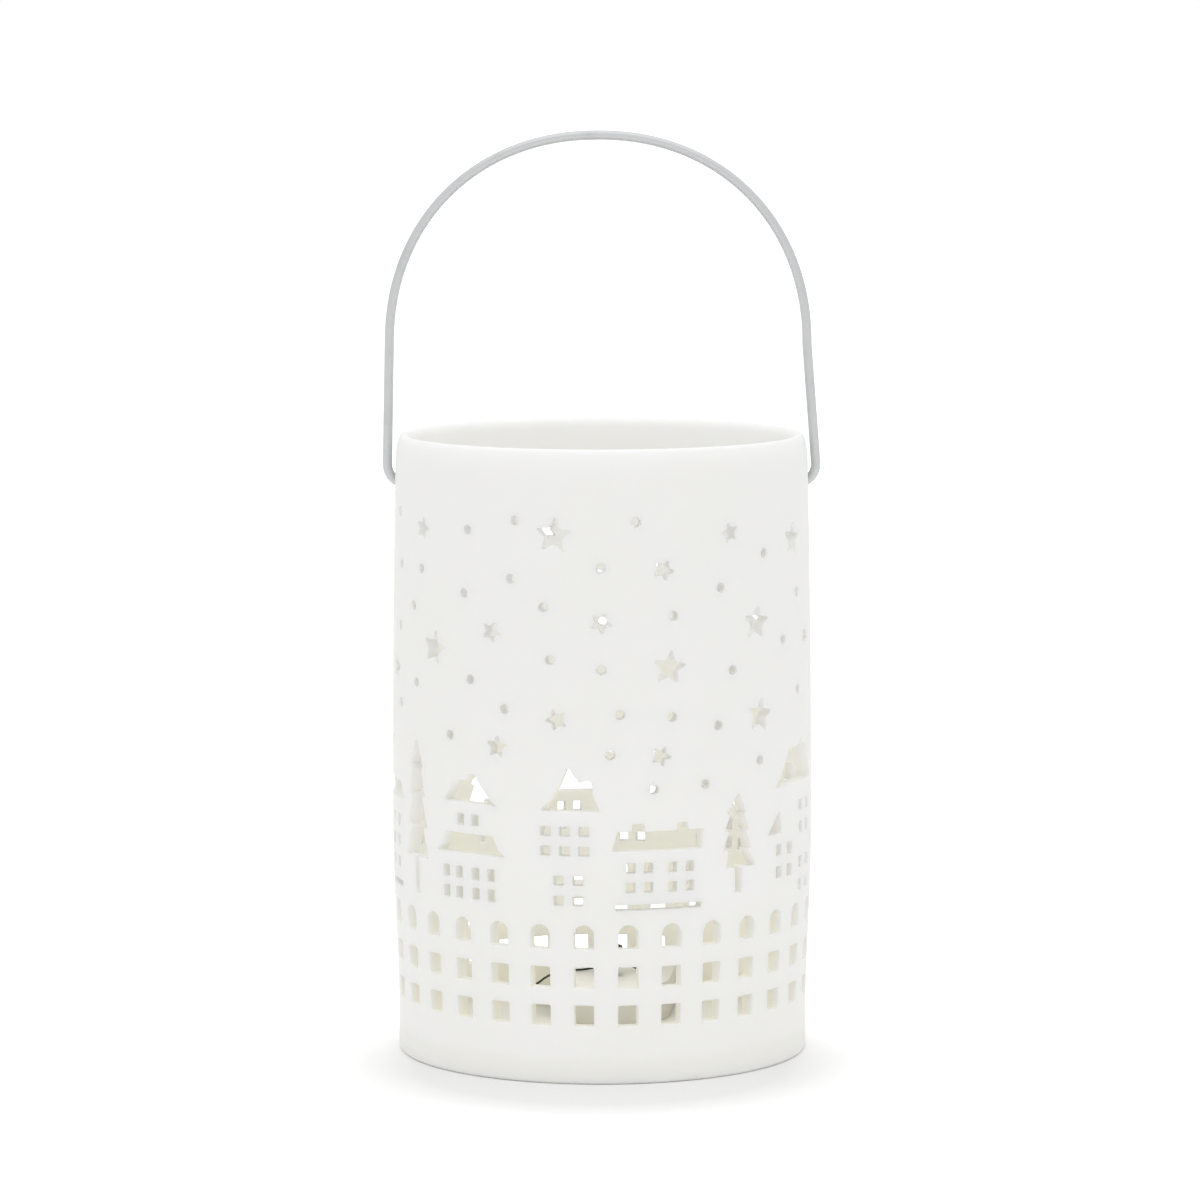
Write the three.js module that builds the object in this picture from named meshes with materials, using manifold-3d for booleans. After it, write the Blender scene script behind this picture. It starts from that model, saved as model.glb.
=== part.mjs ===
// A pierced porcelain lantern with a wire bail and a small battery light standing inside it.
// Millimetres, +Z up. The origin is the middle of the base. The front of the lantern faces -Y.
import * as THREE from "three";
import { mergeVertices } from "three/addons/utils/BufferGeometryUtils.js";
import Module from "manifold-3d";

const wasm = await Module();
wasm.setup();

// Porcelain body
const BODY_HEIGHT = 162;
const WIDEST_RADIUS = 55;
const BASE_RADIUS = 53.6;
const MOUTH_RADIUS = 53.6;
const SWELL_START = 8;
const SWELL_END = 58;
const WALL = 3.6;
const FLOOR = 5;
const FLOOR_FILLET = 1.5;
const BASE_EDGE = 0.8;
const FOOT_RING_WIDTH = 7;
const FOOT_RECESS = 0.8;
const LIP_SHOULDER = 8;
const LIP_INNER_DROP = 2.5;
const BODY_SIDES = 30;

// Arcade of windows round the foot
const COLUMNS = 30;
const FIRST_COLUMN = 7;
const PANE_WIDTH = 5.2;
const PANE_HEIGHT = 5.4;
const PANE_ROWS = [17.7, 27.6];
const ARCH_SILL = 35;
const ARCH_HEIGHT = 6.2;

// Village and sky, which run round the wall twice
const REPEATS = 2;
const STAR_NOTCH = 0.46;
const FIR_WAIST = 0.6;
const FIR_UNDERCUT = 0.3;
const SLOT_HEIGHT = 1.4;

// Wire bail
const WIRE = 2.5;
const PIVOT_HEIGHT = 149.4;
const EAR_HOLE = 4.6;
const LEG_GAP = 0.8;
const BEND_RADIUS = 5;
const BEND_RISE = 4.34;
const ARCH_HALF_WIDTH = 54.4;
const ARCH_SPRING = 185;
const ARCH_RISE = 54.4;
const ARCH_SQUARENESS = 2.12;
const ARCH_LEAN = -0.85;
const WIRE_END = 5;

// Battery case of the light
const CLEARANCE = 0.25;
const LIGHT_X = 2.67;
const LIGHT_BACK_GAP = 10;
const LIGHT_TURN = -6;
const CASE_WIDTH = 31.4;
const CASE_LENGTH = 39.5;
const CASE_CORNER = 3;
const CASE_WALL = 1.2;
const TOP_PLATE = 0.9;
const COVER_PLATE = 1.2;
const TRAY_LOW = 0.7;
const CELL_DIAMETER = 20;
const CELL_HEIGHT = 3.2;
const CELL_CAP_HEIGHT = 0.5;
const CELL_CAP_INSET = 1.1;
const CELL_FROM_END = 2.45;
const WELL_WALL = 0.7;
const STRIP = 0.3;

// Cover screw
const BOSS_DIAMETER = 4.6;
const BOSS_X = -8.5;
const BOSS_Y = 14.5;
const SCREW_SHANK = 1.5;
const SCREW_LENGTH = 6;
const SCREW_HEAD = 3.4;
const SCREW_HEAD_HEIGHT = 0.6;
const SCREW_SLOT = 0.5;

// Slide switch
const SWITCH_X = 6.5;
const SWITCH_Y = 14.5;
const SWITCH_LENGTH = 8.6;
const SWITCH_WIDTH = 4.4;
const SWITCH_HEIGHT = 4.4;
const SWITCH_TRAVEL = 2;
const KNOB_LENGTH = 2.4;
const KNOB_WIDTH = 1.8;
const KNOB_RISE = 1.5;
const FOOT_LENGTH = 4;
const FOOT_HEIGHT = 1;
const PIN = 0.5;
const PIN_LENGTH = 1.2;
const PIN_PITCH = 2.5;

// Lead gland and leads
const LEAD = 0.6;
const GLAND_Y = 7;
const GLAND_Z = 2.7;
const GLAND_PITCH = 2;
const GLAND_LENGTH = 4.2;
const GLAND_HEIGHT = 2.4;
const GLAND_FLANGE = 0.8;
const LEAD_BORE = 1.1;
const WIRING_Z = 5.2;
const RESISTOR_DIAMETER = 1.9;
const RESISTOR_LENGTH = 4.2;

// Light-emitting diode and its holder
const LED_X = -0.65;
const LED_Y = -1.85;
const HOLDER_DIAMETER = 7.1;
const HOLDER_STEM = 6.1;
const STEM_HEIGHT = 2.2;
const HOLDER_HEIGHT = 7.9;
const HOLDER_FLOOR = 0.6;
const LED_SEAT = 3;
const LED_DIAMETER = 5;
const LED_FLANGE = 5.4;
const LED_FLANGE_HEIGHT = 1;
const LED_HEIGHT = 8.6;
const LED_LEG = 0.5;
const LED_LEG_PITCH = 2.54;
const LEAD_NOTCH = 1.2;
const LEAD_AT_HOLDER = 1;

const rad = THREE.MathUtils.degToRad;

// A closed geometry as a solid, with only its shared corners kept
function solid(geometry) {
  const bare = geometry.index ? geometry.toNonIndexed() : geometry.clone();
  bare.deleteAttribute("normal");
  bare.deleteAttribute("uv");
  const merged = mergeVertices(bare, 1e-4);
  return new wasm.Manifold(
    new wasm.Mesh({
      numProp: 3,
      vertProperties: merged.attributes.position.array,
      triVerts: new Uint32Array(merged.index.array),
    }),
  );
}

// A solid as a named mesh with its own finish
function piece(name, body, color, roughness, metalness = 0) {
  const made = body.getMesh();
  const geometry = new THREE.BufferGeometry();
  geometry.setAttribute("position", new THREE.BufferAttribute(made.vertProperties, 3));
  geometry.setIndex(new THREE.BufferAttribute(made.triVerts, 1));
  geometry.computeVertexNormals();
  const material = new THREE.MeshStandardMaterial({ color, roughness, metalness });
  const mesh = new THREE.Mesh(geometry, material);
  mesh.name = name;
  return mesh;
}

function joined(solids) {
  return solids.reduce((whole, next) => whole.add(next));
}

// A block from its lowest to its highest corner
function block(low, high) {
  const size = high.map((value, axis) => value - low[axis]);
  const geometry = new THREE.BoxGeometry(...size);
  geometry.translate(...low.map((value, axis) => value + size[axis] / 2));
  return solid(geometry);
}

// An upright round bar
function bar(x, y, low, high, diameter, sides = 20) {
  const geometry = new THREE.CylinderGeometry(diameter / 2, diameter / 2, high - low, sides);
  geometry.rotateX(Math.PI / 2);
  geometry.translate(x, y, (low + high) / 2);
  return solid(geometry);
}

// A round bar along X
function crossBar(from, to, y, z, diameter, sides = 16) {
  const geometry = new THREE.CylinderGeometry(diameter / 2, diameter / 2, to - from, sides);
  geometry.rotateZ(Math.PI / 2);
  geometry.translate((from + to) / 2, y, z);
  return solid(geometry);
}

// A turned solid about Z from [radius, height] points that start and end on the axis
function turned(points, sides, start = 0) {
  const profile = points.map(([radius, height]) => new THREE.Vector2(radius, height));
  const geometry = new THREE.LatheGeometry(profile, sides, start);
  geometry.rotateX(Math.PI / 2);
  return solid(geometry);
}

// A wire of round section along points, with flat ends
function wire(points, diameter, steps, sides = 8) {
  const path = new THREE.CatmullRomCurve3(points.map((p) => new THREE.Vector3(...p)), false, "centripetal");
  const section = new THREE.Shape();
  section.absarc(0, 0, diameter / 2, 0, 2 * Math.PI);
  const options = { steps, extrudePath: path, curveSegments: sides / 2, bevelEnabled: false };
  return solid(new THREE.ExtrudeGeometry(section, options));
}

// A flat plate in the plan of the case, half round in front and with small round corners behind
function plate(width, length, corner, low, high) {
  const x = width / 2;
  const y = length / 2;
  const outline = new THREE.Shape();
  outline.absarc(0, x - y, x, Math.PI, 2 * Math.PI);
  outline.lineTo(x, y - corner);
  outline.absarc(x - corner, y - corner, corner, 0, Math.PI / 2);
  outline.lineTo(-x + corner, y);
  outline.absarc(-x + corner, y - corner, corner, Math.PI / 2, Math.PI);
  const geometry = new THREE.ExtrudeGeometry(outline, {
    depth: high - low,
    bevelEnabled: false,
    curveSegments: 8,
  });
  geometry.translate(0, 0, low);
  return solid(geometry);
}

// Outer radius of the wall at a height: it swells from the foot and draws in to the mouth
function wallRadius(height) {
  const swell = THREE.MathUtils.smoothstep(height, SWELL_START, SWELL_END);
  const below = BASE_RADIUS + (WIDEST_RADIUS - BASE_RADIUS) * swell;
  const rise = Math.max(0, (height - SWELL_END) / (BODY_HEIGHT - SWELL_END));
  return below - (WIDEST_RADIUS - MOUTH_RADIUS) * rise * rise;
}

// Outline of the wall, the floor and the rounded lip, from the axis below to the axis inside
function bodyProfile() {
  const shoulder = BODY_HEIGHT - LIP_SHOULDER;
  const rings = [0.267, 0.36, 0.68].map((share) => share * BODY_HEIGHT);
  const insideRings = [0.68, 0.36].map((share) => share * BODY_HEIGHT);
  const points = [
    [0, FOOT_RECESS],
    [BASE_RADIUS - FOOT_RING_WIDTH - BASE_EDGE, FOOT_RECESS],
    [BASE_RADIUS - FOOT_RING_WIDTH, 0],
    [BASE_RADIUS - BASE_EDGE, 0],
    [BASE_RADIUS, BASE_EDGE],
  ];
  rings.forEach((height) => points.push([wallRadius(height), height]));
  const outer = wallRadius(shoulder);
  const crown = outer - WALL / 2;
  for (let i = 0; i <= 3; i++) {
    const turn = (i / 3) * (Math.PI / 2);
    const height = shoulder + LIP_SHOULDER * Math.sin(turn);
    points.push([crown + (WALL / 2) * Math.cos(turn), height]);
  }
  for (let i = 1; i <= 2; i++) {
    const turn = (i / 2) * (Math.PI / 2);
    const height = BODY_HEIGHT - LIP_INNER_DROP * (1 - Math.cos(turn));
    points.push([crown - (WALL / 2) * Math.sin(turn), height]);
  }
  insideRings.forEach((height) => points.push([wallRadius(height) - WALL, height]));
  const inside = BASE_RADIUS - WALL;
  for (let i = 0; i <= 2; i++) {
    const turn = (i / 2) * (Math.PI / 2);
    const height = FLOOR + FLOOR_FILLET * (1 - Math.sin(turn));
    points.push([inside - FLOOR_FILLET * (1 - Math.cos(turn)), height]);
  }
  points.push([0, FLOOR]);
  return points;
}

// A cut through the wall: an outline of [across, height] points, square to the wall at an angle
function pierce(angle, outline) {
  const start = Math.min(BASE_RADIUS, MOUTH_RADIUS) - 2 * WALL;
  const shape = new THREE.Shape(outline.map((point) => new THREE.Vector2(...point)));
  const geometry = new THREE.ExtrudeGeometry(shape, {
    depth: Math.max(BASE_RADIUS, WIDEST_RADIUS) + WALL - start,
    bevelEnabled: false,
  });
  const out = new THREE.Vector3(Math.sin(rad(angle)), -Math.cos(rad(angle)), 0);
  const up = new THREE.Vector3(0, 0, 1);
  const across = new THREE.Vector3().crossVectors(up, out);
  const place = new THREE.Matrix4().makeBasis(across, up, out);
  place.setPosition(out.multiplyScalar(start));
  return solid(geometry.applyMatrix4(place));
}

function pane(angle, middle, height, width, tall) {
  const [left, right] = [middle - width / 2, middle + width / 2];
  const [low, high] = [height - tall / 2, height + tall / 2];
  return pierce(angle, [[left, low], [right, low], [right, high], [left, high]]);
}

function archedPane(angle) {
  const half = PANE_WIDTH / 2;
  const outline = [[-half, ARCH_SILL], [half, ARCH_SILL]];
  for (let i = 0; i <= 4; i++) {
    const turn = (i / 4) * Math.PI;
    outline.push([half * Math.cos(turn), ARCH_SILL + ARCH_HEIGHT - half + half * Math.sin(turn)]);
  }
  return pierce(angle, outline);
}

// A five-pointed star, with one point turned to the given direction
function star(angle, height, reach, point) {
  const outline = [];
  for (let i = 0; i < 10; i++) {
    const turn = rad(point + 36 * i);
    const r = i % 2 ? reach * STAR_NOTCH : reach;
    outline.push([r * Math.cos(turn), height + r * Math.sin(turn)]);
  }
  return pierce(angle, outline);
}

// A fir: its tip, then each tier as [height, reach to the left, reach to the right], and its trunk
function fir({ angle, tip, tiers, trunk, foot }) {
  const left = [];
  const right = [];
  tiers.forEach(([height, toLeft, toRight], i) => {
    left.push([-toLeft, height]);
    right.push([toRight, height]);
    const lowest = i === tiers.length - 1;
    left.push([lowest ? -trunk / 2 : -toLeft * FIR_WAIST, height + FIR_UNDERCUT]);
    right.push([lowest ? trunk / 2 : toRight * FIR_WAIST, height + FIR_UNDERCUT]);
  });
  left.push([-trunk / 2, foot]);
  right.push([trunk / 2, foot]);
  return pierce(angle, [[0, tip], ...left, ...right.reverse()]);
}

// A house: its roof outlines, its groups of windows and its doorstep slot
function house({ angle, roofs, windows, step }) {
  const cuts = roofs.map((outline) => pierce(angle, outline));
  windows.forEach(({ across, heights, width, tall }) =>
    heights.forEach((height) => across.forEach((x) => cuts.push(pane(angle, x, height, width, tall)))),
  );
  if (step) {
    const [left, right, height] = step;
    cuts.push(pane(angle, (left + right) / 2, height, right - left, SLOT_HEIGHT));
  }
  return cuts;
}

// Stars as [angle, height, reach, direction of one point]
const STARS = [
  [-58, 139.8, 3.4, 78],
  [-13.1, 140.3, 5.1, 86],
  [37, 140, 3.1, 32],
  [64.8, 136.4, 5, 85],
  [16.8, 131.4, 3.2, 64],
  [90, 124, 4.9, 80],
  [-0.3, 118.3, 3.2, 61],
  [46.6, 116.4, 5, 84],
  [-31.1, 115.2, 3.2, 64],
  [74.5, 110.4, 3, 60],
  [-52, 109.6, 5, 79],
  [18.3, 106.6, 4.9, 83],
  [104, 102.3, 3.5, 80],
  [-12.2, 93.6, 3.2, 40],
  [47.6, 92.6, 4.9, 83],
  [87, 92, 3.2, 70],
  [-29.3, 86, 3.3, 85],
  [15.9, 84.2, 3, 65],
];

const FIRS = [
  {
    angle: -60.5,
    tip: 85.2,
    tiers: [[78, 3.7, 3.3], [70.6, 3.9, 4.2], [62.5, 4.6, 5.2], [54.6, 5.8, 6]],
    trunk: 1.9,
    foot: 45,
  },
  {
    angle: 39.4,
    tip: 73.3,
    tiers: [[68, 3.9, 2.6], [63.6, 4.5, 3.7], [58.7, 5.2, 4.5], [54, 4.1, 6.3]],
    trunk: 2.2,
    foot: 47.6,
  },
];

const HOUSES = [
  {
    angle: -38.6,
    roofs: [
      [
        [-8.6, 71], [7, 71], [8.9, 70.6], [7.2, 71.7], [2.9, 77], [2.2, 78.4], [0.2, 78.4], [-0.3, 76.7],
        [-4.4, 76.5],
      ],
      [[-11.5, 57.8], [11.4, 57.8], [9.3, 59.4], [7.5, 63], [-7.7, 63], [-9.3, 59.4]],
    ],
    windows: [
      { across: [-2.6, 2.2], heights: [66.6], width: 2.3, tall: 2.9 },
      { across: [-7.7, -3.1, 2.4, 7.2], heights: [52.8, 47.6], width: 2.3, tall: 3.1 },
    ],
  },
  {
    angle: -9,
    roofs: [
      [
        [-7.6, 70.3], [8, 70.3], [6.3, 74.3], [5.9, 77.6], [5.2, 78.3], [4, 78.2], [3, 77.4], [1.3, 79.6],
        [0.3, 81.2], [-0.4, 81.2], [-2.4, 76.6], [-4.4, 73.2],
      ],
    ],
    windows: [
      { across: [-6, -1, 3.9], heights: [65.2, 60.2], width: 2.7, tall: 2.5 },
      { across: [-2.6, 2.4], heights: [52.6, 47.4], width: 2.6, tall: 2.5 },
    ],
  },
  {
    angle: 15.4,
    roofs: [
      [
        [-12.3, 60.1], [11.7, 60.1], [12, 65.2], [7.7, 65.2], [7.7, 67.1], [4.8, 67.1], [4.8, 65.2],
        [-4, 65.1], [-4, 67.1], [-7.2, 67.1], [-7.2, 65.1], [-10.8, 65.1],
      ],
    ],
    windows: [{ across: [-7.5, -2.9, 3.5, 8.2], heights: [55.8, 50.8], width: 2.3, tall: 2.7 }],
    step: [-11.3, 11.5, 45.7],
  },
  {
    angle: 66,
    roofs: [
      [
        [-11.4, 72.8], [12.5, 73], [8.2, 82.5], [5.4, 82.7], [5.2, 84.2], [3.1, 84.2], [2.4, 82.7],
        [-4.5, 82.2], [-5.7, 80], [-8.2, 76.4],
      ],
      [[-14.5, 61], [-8.5, 61], [-9.1, 67.2]],
    ],
    windows: [
      { across: [-9.4, -4], heights: [56.6, 50.9], width: 2.7, tall: 3.1 },
      { across: [3.4, 9.1], heights: [66.8, 61, 52, 46], width: 2.7, tall: 2.8 },
    ],
  },
  {
    angle: 97,
    roofs: [[[-12.5, 68.3], [12.7, 68.3], [10.5, 72.8], [-10, 73]]],
    windows: [{ across: [-8.5, -3, 3, 8.5], heights: [62.5, 57, 51.5], width: 2.5, tall: 2.8 }],
    step: [-11, 11.3, 45.9],
  },
];

function ceramicShell() {
  const cuts = [];
  for (let column = 0; column < COLUMNS; column++) {
    const angle = FIRST_COLUMN + (column * 360) / COLUMNS;
    PANE_ROWS.forEach((height) => cuts.push(pane(angle, 0, height, PANE_WIDTH, PANE_HEIGHT)));
    cuts.push(archedPane(angle));
  }
  for (let repeat = 0; repeat < REPEATS; repeat++) {
    const turn = (repeat * 360) / REPEATS;
    STARS.forEach(([angle, ...rest]) => cuts.push(star(angle + turn, ...rest)));
    FIRS.forEach((tree) => cuts.push(fir({ ...tree, angle: tree.angle + turn })));
    HOUSES.forEach((home) => cuts.push(...house({ ...home, angle: home.angle + turn })));
  }
  const reach = WIDEST_RADIUS + WALL;
  cuts.push(crossBar(-reach, reach, 0, PIVOT_HEIGHT, EAR_HOLE, 12));
  const facet = (2 * Math.PI) / BODY_SIDES;
  const body = turned(bodyProfile(), BODY_SIDES, rad(FIRST_COLUMN) - facet / 2);
  return body.subtract(wasm.Manifold.union(cuts));
}

// Middle line of the bail, from the end of the left wire to the end of the right wire
function bailPath() {
  const legReach = wallRadius(PIVOT_HEIGHT) + LEG_GAP + WIRE / 2;
  const bendHeight = PIVOT_HEIGHT + BEND_RISE;
  const side = (sign) => {
    const centre = sign * (legReach - BEND_RADIUS);
    const points = [[centre - sign * WIRE_END, bendHeight - BEND_RADIUS]];
    for (let i = 0; i <= 5; i++) {
      const turn = (i / 5) * (Math.PI / 2);
      const x = centre + sign * BEND_RADIUS * Math.sin(turn);
      points.push([x, bendHeight - BEND_RADIUS * Math.cos(turn)]);
    }
    const top = [ARCH_LEAN + sign * ARCH_HALF_WIDTH, ARCH_SPRING];
    const foot = points[points.length - 1];
    for (let i = 1; i <= 2; i++) {
      points.push([foot[0] + ((top[0] - foot[0]) * i) / 3, foot[1] + ((top[1] - foot[1]) * i) / 3]);
    }
    return points;
  };
  const arch = [];
  const steps = 24;
  for (let i = 0; i <= steps; i++) {
    const turn = Math.PI - (i / steps) * Math.PI;
    const power = 2 / ARCH_SQUARENESS;
    const x = Math.sign(Math.cos(turn)) * Math.abs(Math.cos(turn)) ** power;
    arch.push([ARCH_LEAN + ARCH_HALF_WIDTH * x, ARCH_SPRING + ARCH_RISE * Math.sin(turn) ** power]);
  }
  return [...side(-1), ...arch, ...side(1).reverse()].map(([x, z]) => [x, 0, z]);
}

// Heights inside the battery case, measured from the underside of its cover
const LOWER_CELL = COVER_PLATE + CLEARANCE;
const UPPER_CELL = LOWER_CELL + CELL_HEIGHT + CLEARANCE;
const STRIP_LOW = UPPER_CELL + CELL_HEIGHT + CLEARANCE;
const CEILING = STRIP_LOW + STRIP + CLEARANCE;
const CASE_HEIGHT = CEILING + TOP_PLATE;
const CELL_Y = -CASE_LENGTH / 2 + CELL_FROM_END + CELL_DIAMETER / 2;
const LIGHT_Y = BASE_RADIUS - WALL - CASE_LENGTH / 2 - LIGHT_BACK_GAP - FLOOR_FILLET;
const WELL_RADIUS = CELL_DIAMETER / 2 + CLEARANCE + 0.1;
const CONTACT_Y = CELL_Y + CELL_DIAMETER / 2 + CLEARANCE;
const SWITCH_TOP = CEILING - CLEARANCE;
const SWITCH_LOW = SWITCH_TOP - SWITCH_HEIGHT;
const TAIL_X = -6;
const TAIL_WIDTH = 3;
const TAIL_END = GLAND_Y - GLAND_PITCH / 2 + LEAD / 2 + CLEARANCE + STRIP;
const FOOT_STRIP = SWITCH_LOW - PIN_LENGTH - CLEARANCE - STRIP;

function caseTray() {
  const outer = plate(CASE_WIDTH, CASE_LENGTH, CASE_CORNER, TRAY_LOW, CASE_HEIGHT);
  const inner = plate(
    CASE_WIDTH - 2 * CASE_WALL,
    CASE_LENGTH - 2 * CASE_WALL,
    CASE_CORNER - CASE_WALL,
    -1,
    CEILING,
  );
  const well = bar(0, CELL_Y, LOWER_CELL + 1, CEILING, 2 * (WELL_RADIUS + WELL_WALL), 32).subtract(
    bar(0, CELL_Y, LOWER_CELL, CEILING + 1, 2 * WELL_RADIUS, 32),
  );
  const clipGap = block([-2 - 3 * CLEARANCE, CELL_Y, 0], [2 + 3 * CLEARANCE, CONTACT_Y + 2, CEILING]);
  const tailGap = block(
    [TAIL_X - TAIL_WIDTH / 2 - CLEARANCE, CELL_Y, STRIP_LOW - CLEARANCE],
    [TAIL_X + TAIL_WIDTH / 2 + CLEARANCE, CONTACT_Y + 2, CEILING],
  );
  const boss = bar(BOSS_X, BOSS_Y, COVER_PLATE + CLEARANCE, CEILING, BOSS_DIAMETER);
  const bore = bar(BOSS_X, BOSS_Y, 0, COVER_PLATE + SCREW_LENGTH, SCREW_SHANK + 2 * CLEARANCE);
  const glandHole = block(
    [-CASE_WIDTH, GLAND_Y - GLAND_LENGTH / 2 - CLEARANCE, GLAND_Z - GLAND_HEIGHT / 2 - CLEARANCE],
    [-CASE_WIDTH / 4, GLAND_Y + GLAND_LENGTH / 2 + CLEARANCE, GLAND_Z + GLAND_HEIGHT / 2 + CLEARANCE],
  );
  const slotHalf = (KNOB_LENGTH + SWITCH_TRAVEL) / 2 + CLEARANCE;
  const knobSlot = block(
    [SWITCH_X - slotHalf, SWITCH_Y - KNOB_WIDTH / 2 - CLEARANCE, CEILING - 1],
    [SWITCH_X + slotHalf, SWITCH_Y + KNOB_WIDTH / 2 + CLEARANCE, CASE_HEIGHT + 1],
  );
  const lined = joined([outer.subtract(inner), well.subtract(clipGap).subtract(tailGap), boss]);
  return lined.subtract(bore).subtract(glandHole).subtract(knobSlot);
}

// The cover, which lies in the lower rim of the tray and stands out of it as the foot of the light
function caseCover() {
  const inset = CASE_WALL + CLEARANCE;
  const whole = plate(CASE_WIDTH - 2 * inset, CASE_LENGTH - 2 * inset, CASE_CORNER - inset, 0, COVER_PLATE);
  const passage = bar(BOSS_X, BOSS_Y, -1, COVER_PLATE + 1, SCREW_SHANK + 2 * CLEARANCE);
  const sink = bar(BOSS_X, BOSS_Y, -1, SCREW_HEAD_HEIGHT + CLEARANCE / 2, SCREW_HEAD + 2 * CLEARANCE);
  return whole.subtract(passage).subtract(sink);
}

function coverScrew() {
  const low = CLEARANCE / 2 - 0.05;
  const head = bar(BOSS_X, BOSS_Y, low, SCREW_HEAD_HEIGHT, SCREW_HEAD);
  const shank = bar(BOSS_X, BOSS_Y, low, SCREW_LENGTH, SCREW_SHANK, 12);
  const half = SCREW_HEAD / 2 - 0.5;
  const depth = low + SCREW_HEAD_HEIGHT / 2;
  const slot = SCREW_SLOT / 2;
  const across = block([BOSS_X - half, BOSS_Y - slot, -1], [BOSS_X + half, BOSS_Y + slot, depth]);
  const along = block([BOSS_X - slot, BOSS_Y - half, -1], [BOSS_X + slot, BOSS_Y + half, depth]);
  return head.add(shank).subtract(across).subtract(along);
}

// A coin cell with its smaller cap upwards
function coinCell(low) {
  const radius = CELL_DIAMETER / 2;
  const capRadius = radius - CELL_CAP_INSET;
  const canTop = low + CELL_HEIGHT - CELL_CAP_HEIGHT;
  const edge = 0.3;
  const points = [
    [0, low],
    [radius - edge, low],
    [radius, low + edge],
    [radius, canTop],
    [capRadius, canTop],
    [capRadius, low + CELL_HEIGHT],
    [0, low + CELL_HEIGHT],
  ];
  return turned(points, 32).translate([0, CELL_Y, 0]);
}

function contactNegative() {
  const high = STRIP_LOW + STRIP;
  const left = TAIL_X - TAIL_WIDTH / 2;
  const right = TAIL_X + TAIL_WIDTH / 2;
  const disc = bar(0, CELL_Y, STRIP_LOW, high, 15, 24);
  const tail = block([left, CELL_Y, STRIP_LOW], [right, TAIL_END, high]);
  const drop = block([left, TAIL_END - STRIP, WIRING_Z - LEAD], [right, TAIL_END, high]);
  return joined([disc, tail, drop]);
}

function contactPositive() {
  const pinX = SWITCH_X - PIN_PITCH;
  const clip = block([-2, CONTACT_Y, FOOT_STRIP], [2, CONTACT_Y + STRIP, UPPER_CELL + CELL_HEIGHT - 1]);
  const run = block([-2, CONTACT_Y, FOOT_STRIP], [2, SWITCH_Y + 1, FOOT_STRIP + STRIP]);
  const tab = block([0, SWITCH_Y - 1, FOOT_STRIP], [pinX + 1, SWITCH_Y + 1, FOOT_STRIP + STRIP]);
  return joined([clip, run, tab]);
}

function switchBody() {
  const [halfLength, halfWidth] = [SWITCH_LENGTH / 2, SWITCH_WIDTH / 2];
  const body = block(
    [SWITCH_X - halfLength, SWITCH_Y - halfWidth, SWITCH_LOW],
    [SWITCH_X + halfLength, SWITCH_Y + halfWidth, SWITCH_TOP],
  );
  const well = (FOOT_LENGTH + SWITCH_TRAVEL) / 2 + CLEARANCE;
  const guide = KNOB_WIDTH / 2 + CLEARANCE;
  const depth = FOOT_HEIGHT + STRIP + 2 * CLEARANCE + 0.3;
  const pocket = block(
    [SWITCH_X - well, SWITCH_Y - guide, SWITCH_TOP - depth],
    [SWITCH_X + well, SWITCH_Y + guide, SWITCH_TOP + 1],
  );
  const pins = [-1, 0, 1].map((place) => {
    const x = SWITCH_X + place * PIN_PITCH;
    const low = [x - PIN / 2, SWITCH_Y - PIN / 2, SWITCH_LOW - PIN_LENGTH];
    return block(low, [x + PIN / 2, SWITCH_Y + PIN / 2, SWITCH_LOW + 1]);
  });
  return joined([body.subtract(pocket), ...pins]);
}

// The slider at its off end, which is towards the case's middle
const SLIDER_X = SWITCH_X - SWITCH_TRAVEL / 2;

function switchSlider() {
  const guide = KNOB_WIDTH / 2;
  const footLow = SWITCH_TOP - FOOT_HEIGHT - 0.3;
  const foot = block(
    [SLIDER_X - FOOT_LENGTH / 2, SWITCH_Y - guide, footLow],
    [SLIDER_X + FOOT_LENGTH / 2, SWITCH_Y + guide, footLow + FOOT_HEIGHT],
  );
  const knob = block(
    [SLIDER_X - KNOB_LENGTH / 2, SWITCH_Y - guide, footLow],
    [SLIDER_X + KNOB_LENGTH / 2, SWITCH_Y + guide, CASE_HEIGHT + KNOB_RISE],
  );
  return foot.add(knob);
}

// The spring clip under the slider that bridges two pins
function switchContact() {
  const high = SWITCH_TOP - FOOT_HEIGHT - 0.3 - CLEARANCE;
  const reach = FOOT_LENGTH / 2 - 0.2;
  const half = KNOB_WIDTH / 2 - 0.2;
  const low = [SLIDER_X - reach, SWITCH_Y - half, high - STRIP];
  return block(low, [SLIDER_X + reach, SWITCH_Y + half, high]);
}

function leadGland() {
  const inside = -CASE_WIDTH / 2 + CASE_WALL + 0.8;
  const outside = -CASE_WIDTH / 2 - CLEARANCE - GLAND_FLANGE;
  const [halfLength, halfHeight] = [GLAND_LENGTH / 2, GLAND_HEIGHT / 2];
  const body = block(
    [outside, GLAND_Y - halfLength, GLAND_Z - halfHeight],
    [inside, GLAND_Y + halfLength, GLAND_Z + halfHeight],
  );
  const flange = block(
    [outside, GLAND_Y - halfLength - GLAND_FLANGE, GLAND_Z - halfHeight - GLAND_FLANGE],
    [outside + GLAND_FLANGE, GLAND_Y + halfLength + GLAND_FLANGE, GLAND_Z + halfHeight + GLAND_FLANGE],
  );
  const bores = [-1, 1].map((place) =>
    crossBar(-CASE_WIDTH, 0, GLAND_Y + (place * GLAND_PITCH) / 2, GLAND_Z, LEAD_BORE, 12),
  );
  return body.add(flange).subtract(joined(bores));
}

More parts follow.
